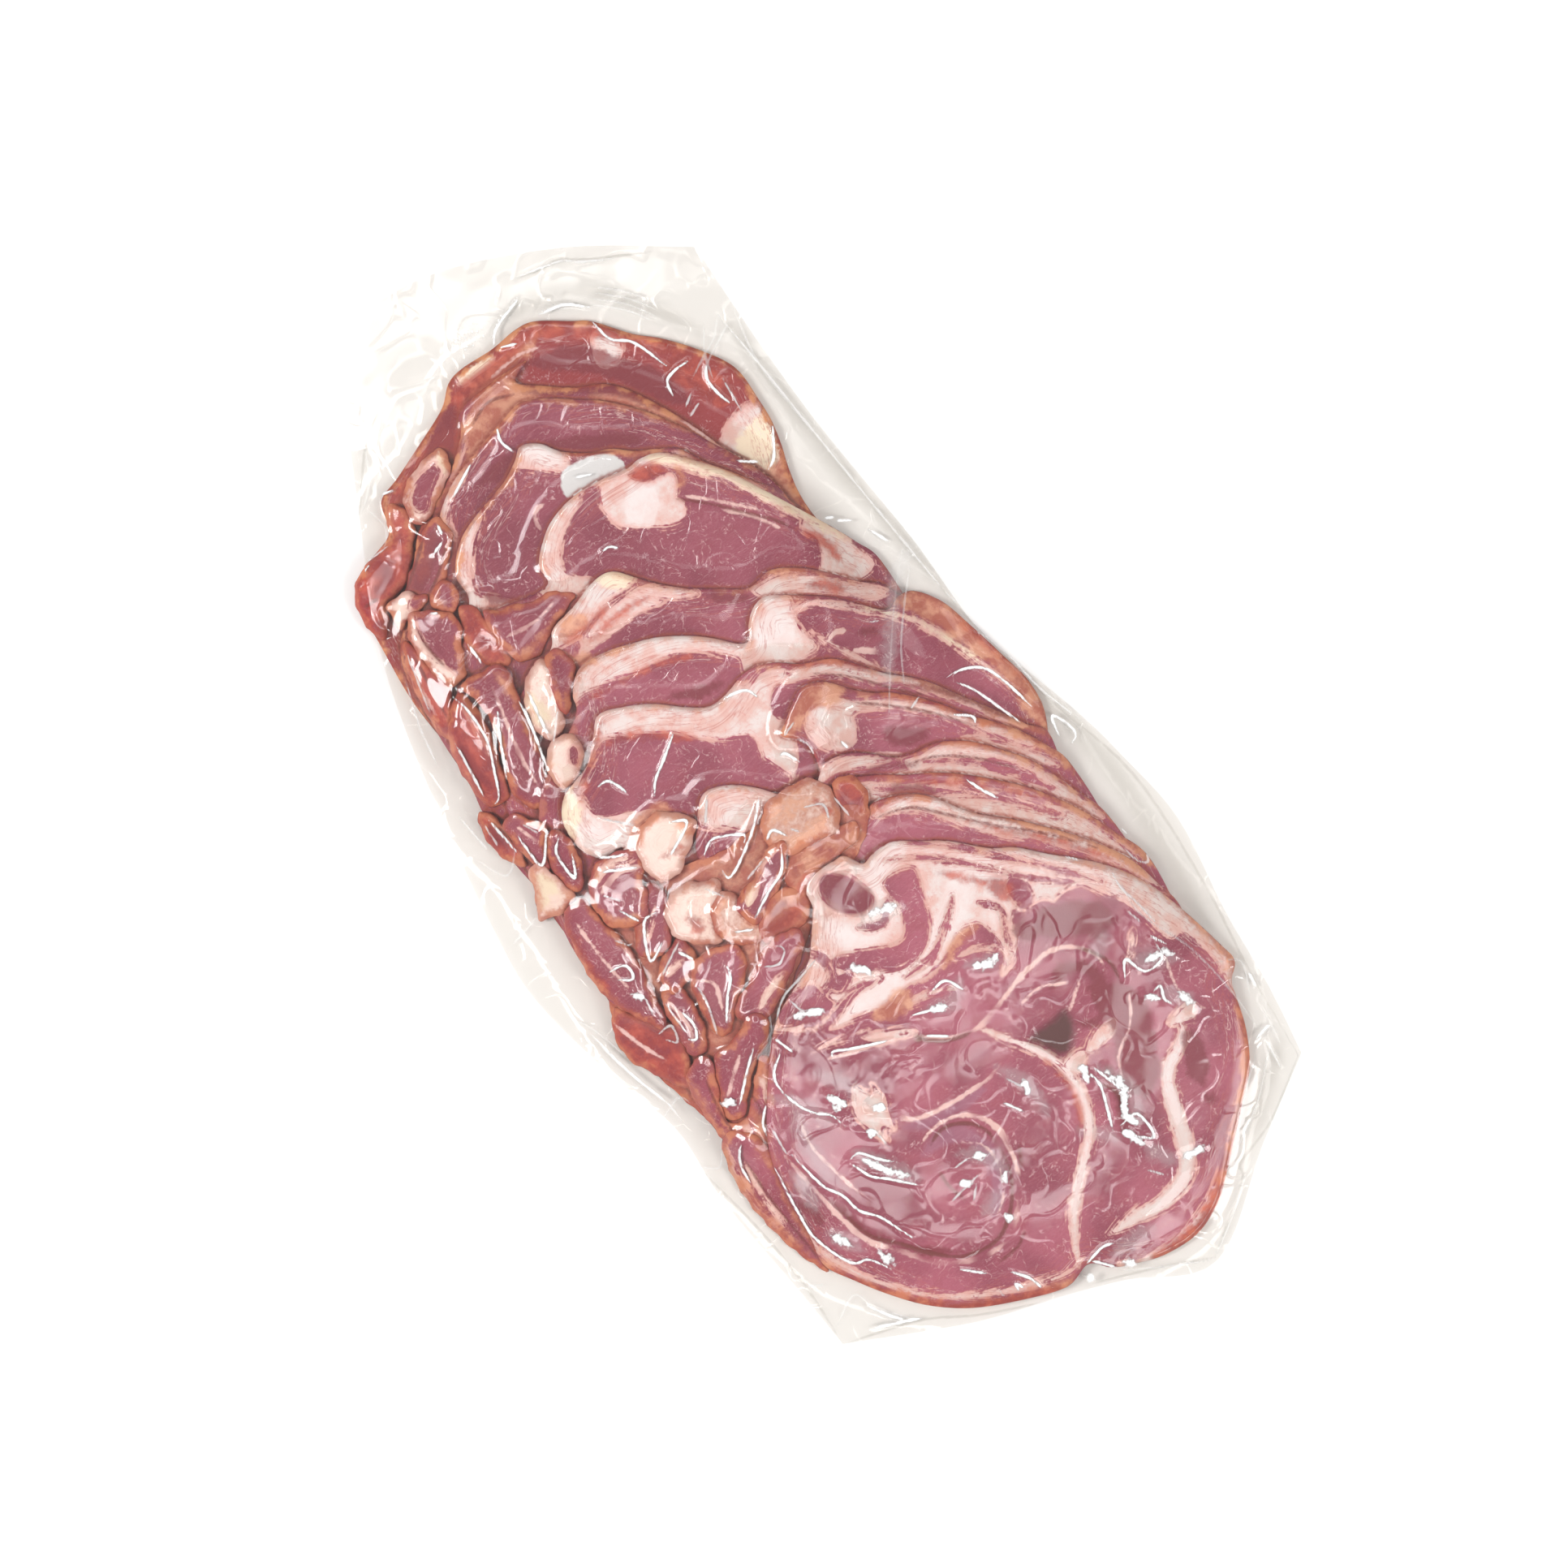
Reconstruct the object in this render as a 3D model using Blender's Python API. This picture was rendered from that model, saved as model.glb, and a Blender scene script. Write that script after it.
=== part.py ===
"""Sliced rolled lamb bacon, sealed flat in a clear vacuum pouch, lying on its back.

Thirteen thin round slices lie in a fan. The first one is at the +Y end, and each later one lies on the one
before, further towards -Y, so that the last shows whole. The folded ends of the slices make a column of
lobes along the -X side. The pouch is drawn tight over all of it, and its flat margin runs round the meat.
The solid is the sealed pouch with what it holds: the film bridges the steps between slices and follows
every lobe. Lengths below are in millimetres, seen from above, and the mesh is made in metres.
"""
import math

import bmesh
import bpy
import numpy as np

MM = 0.001

# Pouch
POUCH_LENGTH = 300.0
POUCH_WIDTH = 148.0
MARGIN_THICK = 0.9
MARGIN_WAVE = 0.25
WAVE_LENGTH = 34.0
FILM_THICK = 0.1

# Slices
SLICE_THICK = 1.9
RIM_ROUND = 1.3
DRAPE_REACH = 5
HIDDEN_STEP = math.radians(18)

# How far the drawn-down film bridges a hollow, in rounds of smoothing, and how hard it is pulled in
FILM_ROUNDS = 90
FILM_PULL = 0.012

# Working grid, and the mesh laid over the pouch before it is thinned out
CELL = 1.0
REACH_X = 84
REACH_Y = 160
ACROSS = 84
ALONG = 172
TRIANGLES = 11200

# Each slice: middle x and y, half width and half length, then the edge that shows, from -X round to +X
SLICES = [
    (-1, 64, 55, 60, [(-54, 88), (-53, 96), (-45, 101), (-38, 103), (-34, 111), (-20, 116), (-5, 124),
                      (8, 124.5), (20, 124), (31, 116), (42, 103), (52, 87), (51.5, 72), (46.5, 52)]),
    (-5, 57, 50, 61, [(-33, 98), (-18, 106), (-8, 116), (13, 117.5), (25, 102), (35, 84), (43, 58)]),
    (-6, 50, 50, 60, [(-36, 90), (-25, 100), (-10, 106.5), (6, 110), (17, 103), (28, 92), (36, 78)]),
    (-5, 42, 50, 59, [(-32, 78), (-24, 92), (-8, 97), (0, 101), (12, 91), (26, 82), (37, 67), (43, 57)]),
    (-3, 26, 56, 58, [(-15, 71), (-9, 80), (3, 84.5), (22, 82), (31, 75), (40, 60), (48, 44), (53, 30)]),
    (-3, 6, 56, 60, [(-23, 58), (-12, 64), (-1, 65), (12, 52), (24, 43), (36, 40), (46, 29), (51, 23)]),
    (0, -8, 60, 59, [(-27, 42), (-19, 51), (0, 46), (14, 34), (22, 39), (33, 34), (47, 20), (59, 14),
                     (64, -10), (62, -24)]),
    (0, -20, 60, 59, [(-38, 30), (-22, 39.5), (-5, 30), (5, 26), (18, 25.5), (35, 12), (49, -6), (61, -27)]),
    (2, -40, 59, 58, [(-18, 7), (-7, 8.5), (6, -3), (11, 12), (20, 17), (33, 6), (48, -10), (61, -35)]),
    (2, -58, 59, 58, [(-9, -8), (4, -4), (14, -1), (26, -6), (43, -16), (53, -29), (61, -50)]),
    (3, -66, 59, 59, [(10, -7), (17, -7), (33, -17), (47, -33), (60, -54), (63, -64)]),
    (3, -73, 59, 59, [(11, -14), (24, -15), (33, -30), (47, -46), (60, -68), (62, -76)]),
    (5, -81, 59, 60, [(-54, -94), (-53, -78), (-44, -55), (-31, -44), (-16, -35.5), (0, -20), (16, -24.5),
                      (30, -35.5), (48.5, -53), (59, -69), (64, -91), (57, -111), (36, -132), (10, -141),
                      (-12, -133), (-38, -118)]),
]

# Each lobe: the slice that it lies on, its middle, half length, half width, turn of its length from +X
# in degrees, and how far it stands up
LOBES = [
    (1, -45, 95, 9.5, 6.5, 25, 2.5),
    (2, -24, 106, 7.5, 4.5, 22, 1.4),
    (4, -42, 75, 10.5, 6.0, 100, 2.2),
    (4, -32, 70, 9.0, 4.5, 85, 1.5),
    (4, -52, 67, 13.0, 3.8, 98, 2.5),
    (6, -50, 49, 14.0, 5.5, 97, 2.6),
    (6, -40, 48, 18.0, 5.0, 95, 2.7),
    (6, -31, 49.5, 9.0, 5.0, 80, 2.1),
    (6, -24, 52, 7.5, 4.5, 80, 1.2),
    (7, -57, 29, 8.0, 3.0, 95, 2.5),
    (7, -34, 35, 5.5, 4.5, 60, 1.9),
    (7, -51, 20, 12.0, 5.0, 80, 2.5),
    (7, -57, 13, 6.5, 4.5, 60, 2.2),
    (8, -34, 20, 11.5, 8.5, 140, 2.1),
    (8, -39, 2, 8.5, 6.0, 100, 2.0),
    (8, -54, -8, 17.0, 6.5, 88, 3.1),
    (8, -26, 6, 7.5, 6.5, 30, 2.1),
    (9, -59, -28, 12.5, 6.0, 70, 3.1),
    (9, -41, -9, 6.5, 5.5, 60, 1.7),
    (9, -30, -11.5, 8.5, 7.0, 20, 2.1),
    (9, 0, -7.5, 9.0, 6.0, 165, 1.9),
    (9, -46, -25, 11.0, 4.0, 80, 1.9),
    (9, -36, -29, 8.0, 6.5, 30, 1.7),
    (9, -13, -15, 9.5, 5.0, 25, 1.6),
    (12, 0, -17, 11.0, 5.0, 5, 1.2),
    (12, -20, -22, 11.0, 5.5, 15, 1.5),
    (12, -24, -33, 13.0, 5.0, 25, 1.5),
    (12, -41, -46, 12.0, 7.0, 35, 1.7),
    (12, -54, -50, 11.0, 5.0, 95, 2.1),
    (12, -57, -76, 16.0, 4.0, 92, 1.6),
]

# The pouch's four edges, each from its -X or -Y end
EDGE_LEFT = [(-63, -114), (-64, -97), (-66, -70), (-65, -50), (-70, -30), (-74, -5), (-72, 15), (-67, 40),
             (-61, 65), (-54, 85), (-40, 112), (-28, 133), (-14, 150)]
EDGE_RIGHT = [(65, -122), (68, -105), (70, -85), (74, -60), (72, -40), (70, -28), (66, -12), (62, 5),
              (62, 30), (60, 65), (60, 90), (61, 116)]
EDGE_NEAR = [(-63, -114), (-35, -128), (-15, -135), (0, -141), (20, -150), (45, -134), (65, -122)]
EDGE_FAR = [(-14, 150), (8, 147), (36, 134), (61, 116)]

FILM_COLOUR = (0.62, 0.27, 0.26, 1.0)
FILM_ROUGHNESS = 0.2


def clear_scene():
    """Remove the objects that the file opened with."""
    for obj in list(bpy.data.objects):
        bpy.data.objects.remove(obj, do_unlink=True)


def smooth_curve(points, closed, per_span=8):
    """Points along a Catmull-Rom curve through the given ones."""
    pts = np.array(points, float)
    count = len(pts)
    spans = count if closed else count - 1
    steps = np.arange(per_span) / per_span
    out = []
    for i in range(spans):
        if closed:
            a, b, c, d = (pts[(i + k) % count] for k in (-1, 0, 1, 2))
        else:
            b, c = pts[i], pts[i + 1]
            a = pts[i - 1] if i > 0 else 2 * b - c
            d = pts[i + 2] if i + 2 < count else 2 * c - b
        for t in steps:
            out.append(0.5 * (2 * b + (c - a) * t + (2 * a - 5 * b + 4 * c - d) * t ** 2
                              + (3 * b - a - 3 * c + d) * t ** 3))
    if not closed:
        out.append(pts[-1])
    return np.array(out)


def slice_outline(middle_x, middle_y, half_x, half_y, shown):
    """A slice's closed outline: the edge that shows, then an ellipse for the edge that the others hide."""
    def turn_of(point):
        return math.atan2((point[1] - middle_y) / half_y, (point[0] - middle_x) / half_x)
    start, end = turn_of(shown[-1]), turn_of(shown[0])
    gap = (start - end) % (2 * math.pi)
    steps = int(gap / HIDDEN_STEP)
    points = list(shown)
    for k in range(1, steps):
        turn = start - gap * k / steps
        points.append((middle_x + half_x * math.cos(turn), middle_y + half_y * math.sin(turn)))
    return smooth_curve(points, closed=True)


def lobe_outline(middle_x, middle_y, half_long, half_wide, turn):
    """An ellipse, its length turned from +X."""
    angles = np.arange(0, 2 * math.pi, math.radians(10))
    along, across = half_long * np.cos(angles), half_wide * np.sin(angles)
    c, s = math.cos(math.radians(turn)), math.sin(math.radians(turn))
    return np.stack([middle_x + along * c - across * s, middle_y + along * s + across * c], axis=1)


def depth_inside(outline, x, y):
    """How deep each point lies inside a closed outline, negative outside it."""
    nearest = np.full(x.shape, 1e9)
    crossings = np.zeros(x.shape, bool)
    for (ax, ay), (bx, by) in zip(outline, np.roll(outline, -1, axis=0)):
        ex, ey = bx - ax, by - ay
        share = np.clip(((x - ax) * ex + (y - ay) * ey) / max(ex * ex + ey * ey, 1e-9), 0, 1)
        nearest = np.minimum(nearest, (x - ax - share * ex) ** 2 + (y - ay - share * ey) ** 2)
        if ay != by:
            crossings ^= ((ay > y) != (by > y)) & (x < ax + (y - ay) * ex / ey)
    return np.where(crossings, 1, -1) * np.sqrt(nearest)


def soften(field, rounds):
    """The field averaged with its neighbours, a number of times over."""
    for _ in range(rounds):
        wide = np.pad(field, 1, mode="edge")
        rows = (wide[:-2] + 2 * wide[1:-1] + wide[2:]) / 4
        field = (rows[:, :-2] + 2 * rows[:, 1:-1] + rows[:, 2:]) / 4
    return field


def lay(ground, depth, thick, rounding):
    """The heights after one more piece of a thickness is draped over what lies there, with a round rim."""
    under = np.maximum(ground, soften(ground, DRAPE_REACH))
    rim = 1 - np.clip(depth / rounding, 0, 1)
    return np.where(depth > 0, np.maximum(ground, under + thick * np.sqrt(1 - rim ** 2)), ground)


def meat_heights(x, y):
    """The top of the stacked slices and lobes."""
    ground = np.zeros(x.shape)
    for number, (middle_x, middle_y, half_x, half_y, shown) in enumerate(SLICES, start=1):
        depth = depth_inside(slice_outline(middle_x, middle_y, half_x, half_y, shown), x, y)
        ground = lay(ground, depth, SLICE_THICK, RIM_ROUND)
        for on_slice, lobe_x, lobe_y, half_long, half_wide, turn, rise in LOBES:
            if on_slice == number:
                depth = depth_inside(lobe_outline(lobe_x, lobe_y, half_long, half_wide, turn), x, y)
                ground = lay(ground, depth, rise, half_wide * 0.8)
    return ground


def film_heights(meat, margin):
    """The drawn-down film: it bridges the hollows of the meat and falls to the margin round it."""
    film = np.maximum(meat, margin)
    for _ in range(FILM_ROUNDS):
        film = np.maximum(np.maximum(meat, margin), soften(film, 1) - FILM_PULL)
    return film + FILM_THICK


def read_field(field, x, y):
    """The field's height at points between its grid points."""
    col = np.clip((x + REACH_X) / CELL, 0, field.shape[1] - 1.001)
    row = np.clip((y + REACH_Y) / CELL, 0, field.shape[0] - 1.001)
    c, r = col.astype(int), row.astype(int)
    u, v = col - c, row - r
    low = field[r, c] * (1 - u) + field[r, c + 1] * u
    high = field[r + 1, c] * (1 - u) + field[r + 1, c + 1] * u
    return low * (1 - v) + high * v


def edge_points(points, count):
    """Evenly spaced points along a smooth edge."""
    line = smooth_curve(points, closed=False)
    run = np.concatenate([[0], np.cumsum(np.hypot(*np.diff(line, axis=0).T))])
    at = np.linspace(0, run[-1], count)
    return np.stack([np.interp(at, run, line[:, 0]), np.interp(at, run, line[:, 1])], axis=1)


def pouch_plan():
    """Plan positions of the pouch's grid points: a Coons patch between its four edges."""
    near, far = edge_points(EDGE_NEAR, ACROSS + 1), edge_points(EDGE_FAR, ACROSS + 1)
    left, right = edge_points(EDGE_LEFT, ALONG + 1), edge_points(EDGE_RIGHT, ALONG + 1)
    s = np.linspace(0, 1, ACROSS + 1)[None, :, None]
    t = np.linspace(0, 1, ALONG + 1)[:, None, None]
    ruled = (1 - t) * near[None] + t * far[None] + (1 - s) * left[:, None] + s * right[:, None]
    corners = ((1 - s) * (1 - t) * near[0] + s * (1 - t) * near[-1] + (1 - s) * t * far[0]
               + s * t * far[-1])
    plan = ruled - corners
    low, high = plan.min(axis=(0, 1)), plan.max(axis=(0, 1))
    return (plan - (low + high) / 2) * (np.array([POUCH_WIDTH, POUCH_LENGTH]) / (high - low))


def pouch_mesh():
    """The closed pouch: its top follows the film, and its underside is flat."""
    axis_x = np.arange(-REACH_X, REACH_X + CELL, CELL)
    axis_y = np.arange(-REACH_Y, REACH_Y + CELL, CELL)
    x, y = np.meshgrid(axis_x, axis_y)
    turns = 2 * math.pi / WAVE_LENGTH
    margin = MARGIN_THICK + MARGIN_WAVE * np.sin(turns * (x + 0.4 * y)) * np.sin(turns * (y - 0.3 * x))
    film = film_heights(meat_heights(x, y), margin)

    plan = pouch_plan().reshape(-1, 2)
    heights = read_field(film, plan[:, 0], plan[:, 1])
    bm = bmesh.new()
    bmesh.ops.create_grid(bm, x_segments=ACROSS, y_segments=ALONG, size=0.5)
    bm.verts.ensure_lookup_table()
    for vert in bm.verts:
        col = round((vert.co.x + 0.5) * ACROSS)
        row = round((vert.co.y + 0.5) * ALONG)
        at = row * (ACROSS + 1) + col
        vert.co = (plan[at, 0] * MM, plan[at, 1] * MM, heights[at] * MM)
    rim = [edge for edge in bm.edges if edge.is_boundary]
    skirt = bmesh.ops.extrude_edge_only(bm, edges=rim)["geom"]
    for vert in (item for item in skirt if isinstance(item, bmesh.types.BMVert)):
        vert.co.z = 0.0
    hem = [edge for edge in bm.edges if edge.is_boundary]
    bmesh.ops.edgeloop_fill(bm, edges=hem)
    bmesh.ops.recalc_face_normals(bm, faces=bm.faces)
    mesh = bpy.data.meshes.new("sealed_bag")
    bm.to_mesh(mesh)
    bm.free()
    return mesh


def film_material():
    """A colour between the meat's and the fat's, with the film's gloss."""
    material = bpy.data.materials.new("film_over_bacon")
    material.use_nodes = True
    shader = material.node_tree.nodes["Principled BSDF"]
    shader.inputs["Base Color"].default_value = FILM_COLOUR
    shader.inputs["Roughness"].default_value = FILM_ROUGHNESS
    shader.inputs["Metallic"].default_value = 0.0
    return material


def build():
    """The whole part, in its own collection."""
    clear_scene()
    collection = bpy.data.collections.new("lamb_bacon_pack")
    bpy.context.scene.collection.children.link(collection)
    bag = bpy.data.objects.new("sealed_bag", pouch_mesh())
    collection.objects.link(bag)
    bag.data.materials.append(film_material())
    bag.data.shade_smooth()
    faces = sum(len(face.vertices) - 2 for face in bag.data.polygons)
    thin = bag.modifiers.new("thin_out", "DECIMATE")
    thin.ratio = TRIANGLES / faces


build()
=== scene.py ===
"""The looks of a vacuum pack of sliced rolled lamb bacon.

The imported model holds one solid, the sealed pouch with all that is in it. This scene puts the real things
in its place: thirteen slices and their folded lobes, draped over one another, and the clear film drawn
down over them. Plan positions are in millimetres in the pack's own frame, as in the part's source.
"""
import math

import bpy
import numpy as np
from mathutils import Matrix, Vector
from mathutils.geometry import delaunay_2d_cdt


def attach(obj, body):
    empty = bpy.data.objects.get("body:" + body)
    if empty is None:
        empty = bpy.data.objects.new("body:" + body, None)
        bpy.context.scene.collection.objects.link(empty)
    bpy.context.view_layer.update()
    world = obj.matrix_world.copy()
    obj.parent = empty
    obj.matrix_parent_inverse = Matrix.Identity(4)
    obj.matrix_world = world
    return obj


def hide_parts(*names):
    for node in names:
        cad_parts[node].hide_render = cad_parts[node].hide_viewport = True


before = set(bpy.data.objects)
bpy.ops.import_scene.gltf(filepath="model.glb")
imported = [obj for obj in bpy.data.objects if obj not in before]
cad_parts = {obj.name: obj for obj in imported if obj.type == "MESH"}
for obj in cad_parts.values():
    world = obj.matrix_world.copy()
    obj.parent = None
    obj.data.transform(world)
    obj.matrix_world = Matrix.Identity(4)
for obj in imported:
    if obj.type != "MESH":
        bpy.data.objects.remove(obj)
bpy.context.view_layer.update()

MM = 0.001
TINY = 1e-9
FAR_AWAY = 1e9

# Working grid over the pack
CELL = 0.5
REACH_X = 84.0
REACH_Y = 158.0
WINDOW_SPARE = 2
UNCOVERED = -9.0
GRID_END = 1.001

# Slices and lobes: a rim's edge stands at a share of the piece's rise
SLICE_THICK = 1.75
SLICE_EDGE = 0.5
LOBE_EDGE = 0.22
RIM_ROUND = 1.3
LOBE_ROUND = 0.55
LOBE_TILT = 0.28
LOBE_TURNS = 17
LOBE_WOBBLE = ((5.5, 0.2), (2.6, 0.08))
LEAST_WAVES = 3
TABLE_GAP = 0.25
HIDDEN_TURN = 18.0
DRAPE_HALF = 6
TOP_DRAPE_HALF = 12

# How the surface follows the tissue: kind, height, and the depths where it starts and is full
RELIEF = (("fat", 0.22, -0.6, 1.0), ("seam", -0.25, -0.5, 0.4), ("gap", -0.35, -0.6, 0.3),
          ("hole", -0.9, -0.8, 1.2))
RELIEF_RIM = (0.2, 1.6)

# Spacing of the points on them
SHOWN_STEP = 0.7
HIDDEN_STEP = 2.4
LOBE_STEP = 0.55
RING_STEP = 0.62
BELOW_STEP = 1.5
COARSE_STEP = 4.0
HEX_ROW = 0.866
SLICE_RINGS = (0.1, 0.32, 0.7, 1.15)
LOBE_RINGS = (0.1, 0.32, 0.7)
RING_KEPT = 0.8
RING_SPARE = 0.55
COARSE_SPARE = 1
HIDDEN_DEPTH = 2.0
HIDDEN_SPARE = 0.6
CUT_INSIDE = 1
CUT_JOIN = 1e-5

# Tissue, and the painted shade in the dark and hole kinds
KINDS = ("fat", "white", "red", "warm", "dark", "gold", "lilac", "cartilage", "seam", "gap", "hole")
CLAMP = 6.0
RIM_CLAMP = 9.0
BAND_ENDS = (6, 0.04)

# What a lobe's whole body is made of: kind and signed depth
TISSUES = {
    "red": {"red": 1.0},
    "fat": {"fat": CLAMP},
    "cream": {"fat": CLAMP, "gold": -0.7},
    "peach": {"fat": CLAMP, "warm": 0.4},
    "tan": {"warm": 1.0},
    "bed": {"warm": 1.0, "dark": -0.5},
}

# Film
FILM_ROUNDS = 240
FILM_PULL = 0.006
FILM_GAP = 0.12
FILM_ACROSS = 312
FILM_ALONG = 636
UNDER_ACROSS = 74
UNDER_ALONG = 150
UNDER_HEIGHT = 0.1
MARGIN_TOP = 0.75
MARGIN_RISE = 0.3
MARGIN_WAVE = 34
MARGIN_LEANS = (0.4, 0.3)
POUCH_LENGTH = 300.0
POUCH_WIDTH = 148.0

# Stage
FLOOR_HEIGHT = -0.05
FLOOR_REACH = 20000
FLOOR_POINTS = 9
FLOOR_COLOURS = ((250, 250, 249), (253, 253, 252))
FLOOR_MOTTLE = 3.0
WORLD_LIGHT = 0.58
RING_TILT = 22.0
RING_LEAN = 5.0
RING_LEAN_FROM = 270
RING_DISTANCE = 1.6
RING_WIDTH = 0.22
RING_POWER = 2.9
RING_SHARES = (0.15, 0.1, 0.1, 0.25, 0.9, 1.2, 0.9, 0.5, 0.5, 0.5, 0.4, 0.2)
CAMERA_PLACE = (0.0035, 0.0011, 0.908)
CAMERA_RIGHT = (0.809, -0.588, 0)
CAMERA_UP = (0.588, 0.809, 0)
CAMERA_LENS = 88.3
CAMERA_SENSOR = 36

# Lights: name, azimuth, tilt off the zenith, distance, width, power
LIGHTS = [
    ("key", 150, 48, 1.5, 0.5, 13.5),
    ("fill", 300, 50, 1.5, 0.5, 8.0),
]

# The meat's noises: scale to the millimetre, detail, roughness, distortion
MEAT_NOISES = {
    "cloud": (0.055, 3.0, 0.5, 0.0),
    "patchy": (0.22, 3.0, 0.6, 0.0),
    "fine": (0.9, 3.0, 0.6, 0.0),
    "grain": (3.2, 3.0, 0.65, 0.0),
    "fibre": (1.0, 4.0, 0.65, 2.2),
    "veins": (0.16, 4.0, 0.6, 0.6),
    "blood": (0.3, 4.0, 0.6, 1.0),
    "streaks": (0.17, 3.0, 0.6, 0.0),
    "layers": (0.13, 3.0, 0.6, 0.0),
    "faded": (0.1, 1.0, 0.5, 0.0),
    "rind": (0.11, 2.0, 0.5, 0.0),
}
FIBRE_STRETCH = (0.25, 1.2, 0.6)
FIBRE_TURN = 32
RAGGED = {"patchy": 3.2, "fine": 2.0}
STREAK_SLIDE = 9.0
STREAK_SIZE = 5.0
LAYER_SLIDE = 7.0

# How each kind of tissue sets in: softness and shift in millimetres, and how ragged its edge is
AREAS = {
    "white": (1.6, 0.0, 1.0),
    "red": (1.1, 0.0, 1.0),
    "warm": (1.0, 0.0, 1.0),
    "dark": (0.9, 0.0, 1.0),
    "gold": (0.9, 0.0, 1.0),
    "lilac": (0.9, 0.0, 1.0),
    "cartilage": (0.3, 0.0, 0.4),
    "seam": (0.25, 0.0, 0.45),
    "gap": (0.3, 0.0, 0.2),
    "hole": (1.5, 0.2, 0.5),
}

# Lean: two colours by clouds, a third by patches, a deep one, and what is laid over them in turn
CLOUD_EDGES = (0.35, 0.65)
LEAN = ((146, 62, 82), (180, 94, 114))
DEEP_LEAN = (128, 44, 62)
# Pattern, where it sets in and is full, share, colour
LEAN_PATCHES = ("patchy", 0.45, 0.7, 0.35, (158, 66, 77))
LEAN_LAYERS = (
    ("tone", 0.84, 1.0, 0.8, (156, 46, 42)),
    ("fibre", 0.5, 0.8, 0.45, (200, 134, 146)),
    ("fibre", 0.48, 0.25, 0.3, (136, 60, 76)),
    ("grain", 0.58, 0.78, 0.5, (214, 160, 170)),
    ("grain", 0.4, 0.26, 0.5, (116, 40, 58)),
)
VEIN_WIDTH = 0.012
VEIN_EDGES = (0.4, 0.6)
VEIN_SHARE = 0.7
VEIN = (226, 184, 186)

# Fat: a slice's two colours and a lobe's, blood, and the two kinds laid over them
FAT_EDGES = (0.34, 0.64)
SLICE_FAT = ((229, 212, 207), (224, 180, 170))
LOBE_FAT = ((249, 228, 218), (240, 206, 190))
LOBE_FAT_EDGES = (0.9, 0.3)
BLOOD_WIDTH = 0.018
BLOOD_EDGES = (0.4, 0.6)
BLOOD_SHARE = 0.4
BLOOD = (214, 130, 120)
GOLD = (242, 222, 196)
WHITE_SHARE = 0.65
WHITE = (238, 226, 223)

# Where fat meets lean, and the threads of both under a slice's rim
FAT_MEETS = (-0.35, 0.35)
THREADS_END = (8.5, 5.0)
THREADS_START = (0.3, 1.2)
# The layer's value, its width, share, colour
THREADS = ((0.5, 0.03, 0.5, (190, 100, 92)), (0.4, 0.02, 0.6, (240, 208, 200)))
BLUSH_EDGES = ((2.2, 0.2), (-0.1, 0.3))
BLUSH_STREAKS = (-0.1, 0.15)
BLUSH = (226, 168, 160)
FRINGE_WIDTH = 0.6
FRINGE_SHARE = 0.4
FRINGE = (200, 122, 116)

# Stains in two colours by patches: kind, share, where the second colour sets in and is full, colours
PATCHED = (
    ("warm", 0.8, (0.4, 0.62), ((188, 106, 80), (226, 162, 130))),
    ("red", 0.8, (0.35, 0.65), ((150, 48, 43), (198, 86, 66))),
)
# Stains in one colour: kind, share, colour. The dark one is partly darker tissue and partly painted shade in
# gaps and along the foot of crests
STAINS = (("dark", 0.75, (126, 40, 52)), ("lilac", 0.35, (168, 126, 152)))
SEAM_FADES = (0.32, 0.5)
SEAM = (236, 194, 188)
CARTILAGE = (226, 224, 224)

# Rind, the glaze near a lobe's edges, and the painted shade in the hollows of the meat's top
RIND_EDGES = (0.42, 0.6)
RIND = ((160, 70, 54), (212, 140, 98))
RIND_RAGGED = 1.1
RIND_DEPTHS = (-1.9, -0.6)
RIND_TONE = 0.12
RIND_PATCHES = (0.44, 0.6)
GLAZE_RAGGED = 0.8
GLAZE_RAMP = (2.6, 0.3, 0.1, 1.0)
GLAZE = (188, 92, 74)
HOLLOW_SHADE_RAGGED = 0.12
# Painted shade in the hollows: where it sets in and is full, share, colour
HOLLOW_SHADES = ((0.06, 0.4, 0.7, (168, 76, 58)), (0.28, 0.75, 0.65, (108, 42, 35)))
GAP_SHARE = 0.85
GAP = (120, 50, 48)
# Painted shade inside a hole
HOLE_SHADE = (92, 48, 47)

# The meat's surface
MEAT_BUMPS = {"fibre": 0.5, "grain": 0.35, "fine": 0.6}
MEAT_BUMP = {"Strength": 0.5, "Distance": 0.00025}
MEAT_ROUGHNESS = 0.48
MEAT_SPECULAR = 0.25

# The film's surface
FILM_TINT = (0.974, 0.961, 0.947, 1.0)
DOUBLED_AND_SHADED_TINT = (0.72, 0.70, 0.67, 1.0)
HAZE_AND_HIGHLIGHT_WHITE = (0.97, 0.965, 0.96, 1.0)
FILM_HAZE = 0.012
FILM_BROAD = (0.09, 1.0)
FILM_FOLD = (0.09, 1.0, 0.4, 0.8)
FILM_SWELL = (0.6, 2.0, 0.6)
FOLD_WIDTH = 0.05
FOLD_SHARE = 0.2
FILM_BUMP = {"Strength": 0.35, "Distance": 0.0007}
FILM_ROUGHNESS = 0.1
FACING_BLEND = 0.5
FACING_POWER = 5.0
MIRROR_LEAST = 0.045
MIRROR_RANGE = 0.9
DOT_SCALE = 1.1
DOT_EDGES = (0.34, 0.2)
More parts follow.
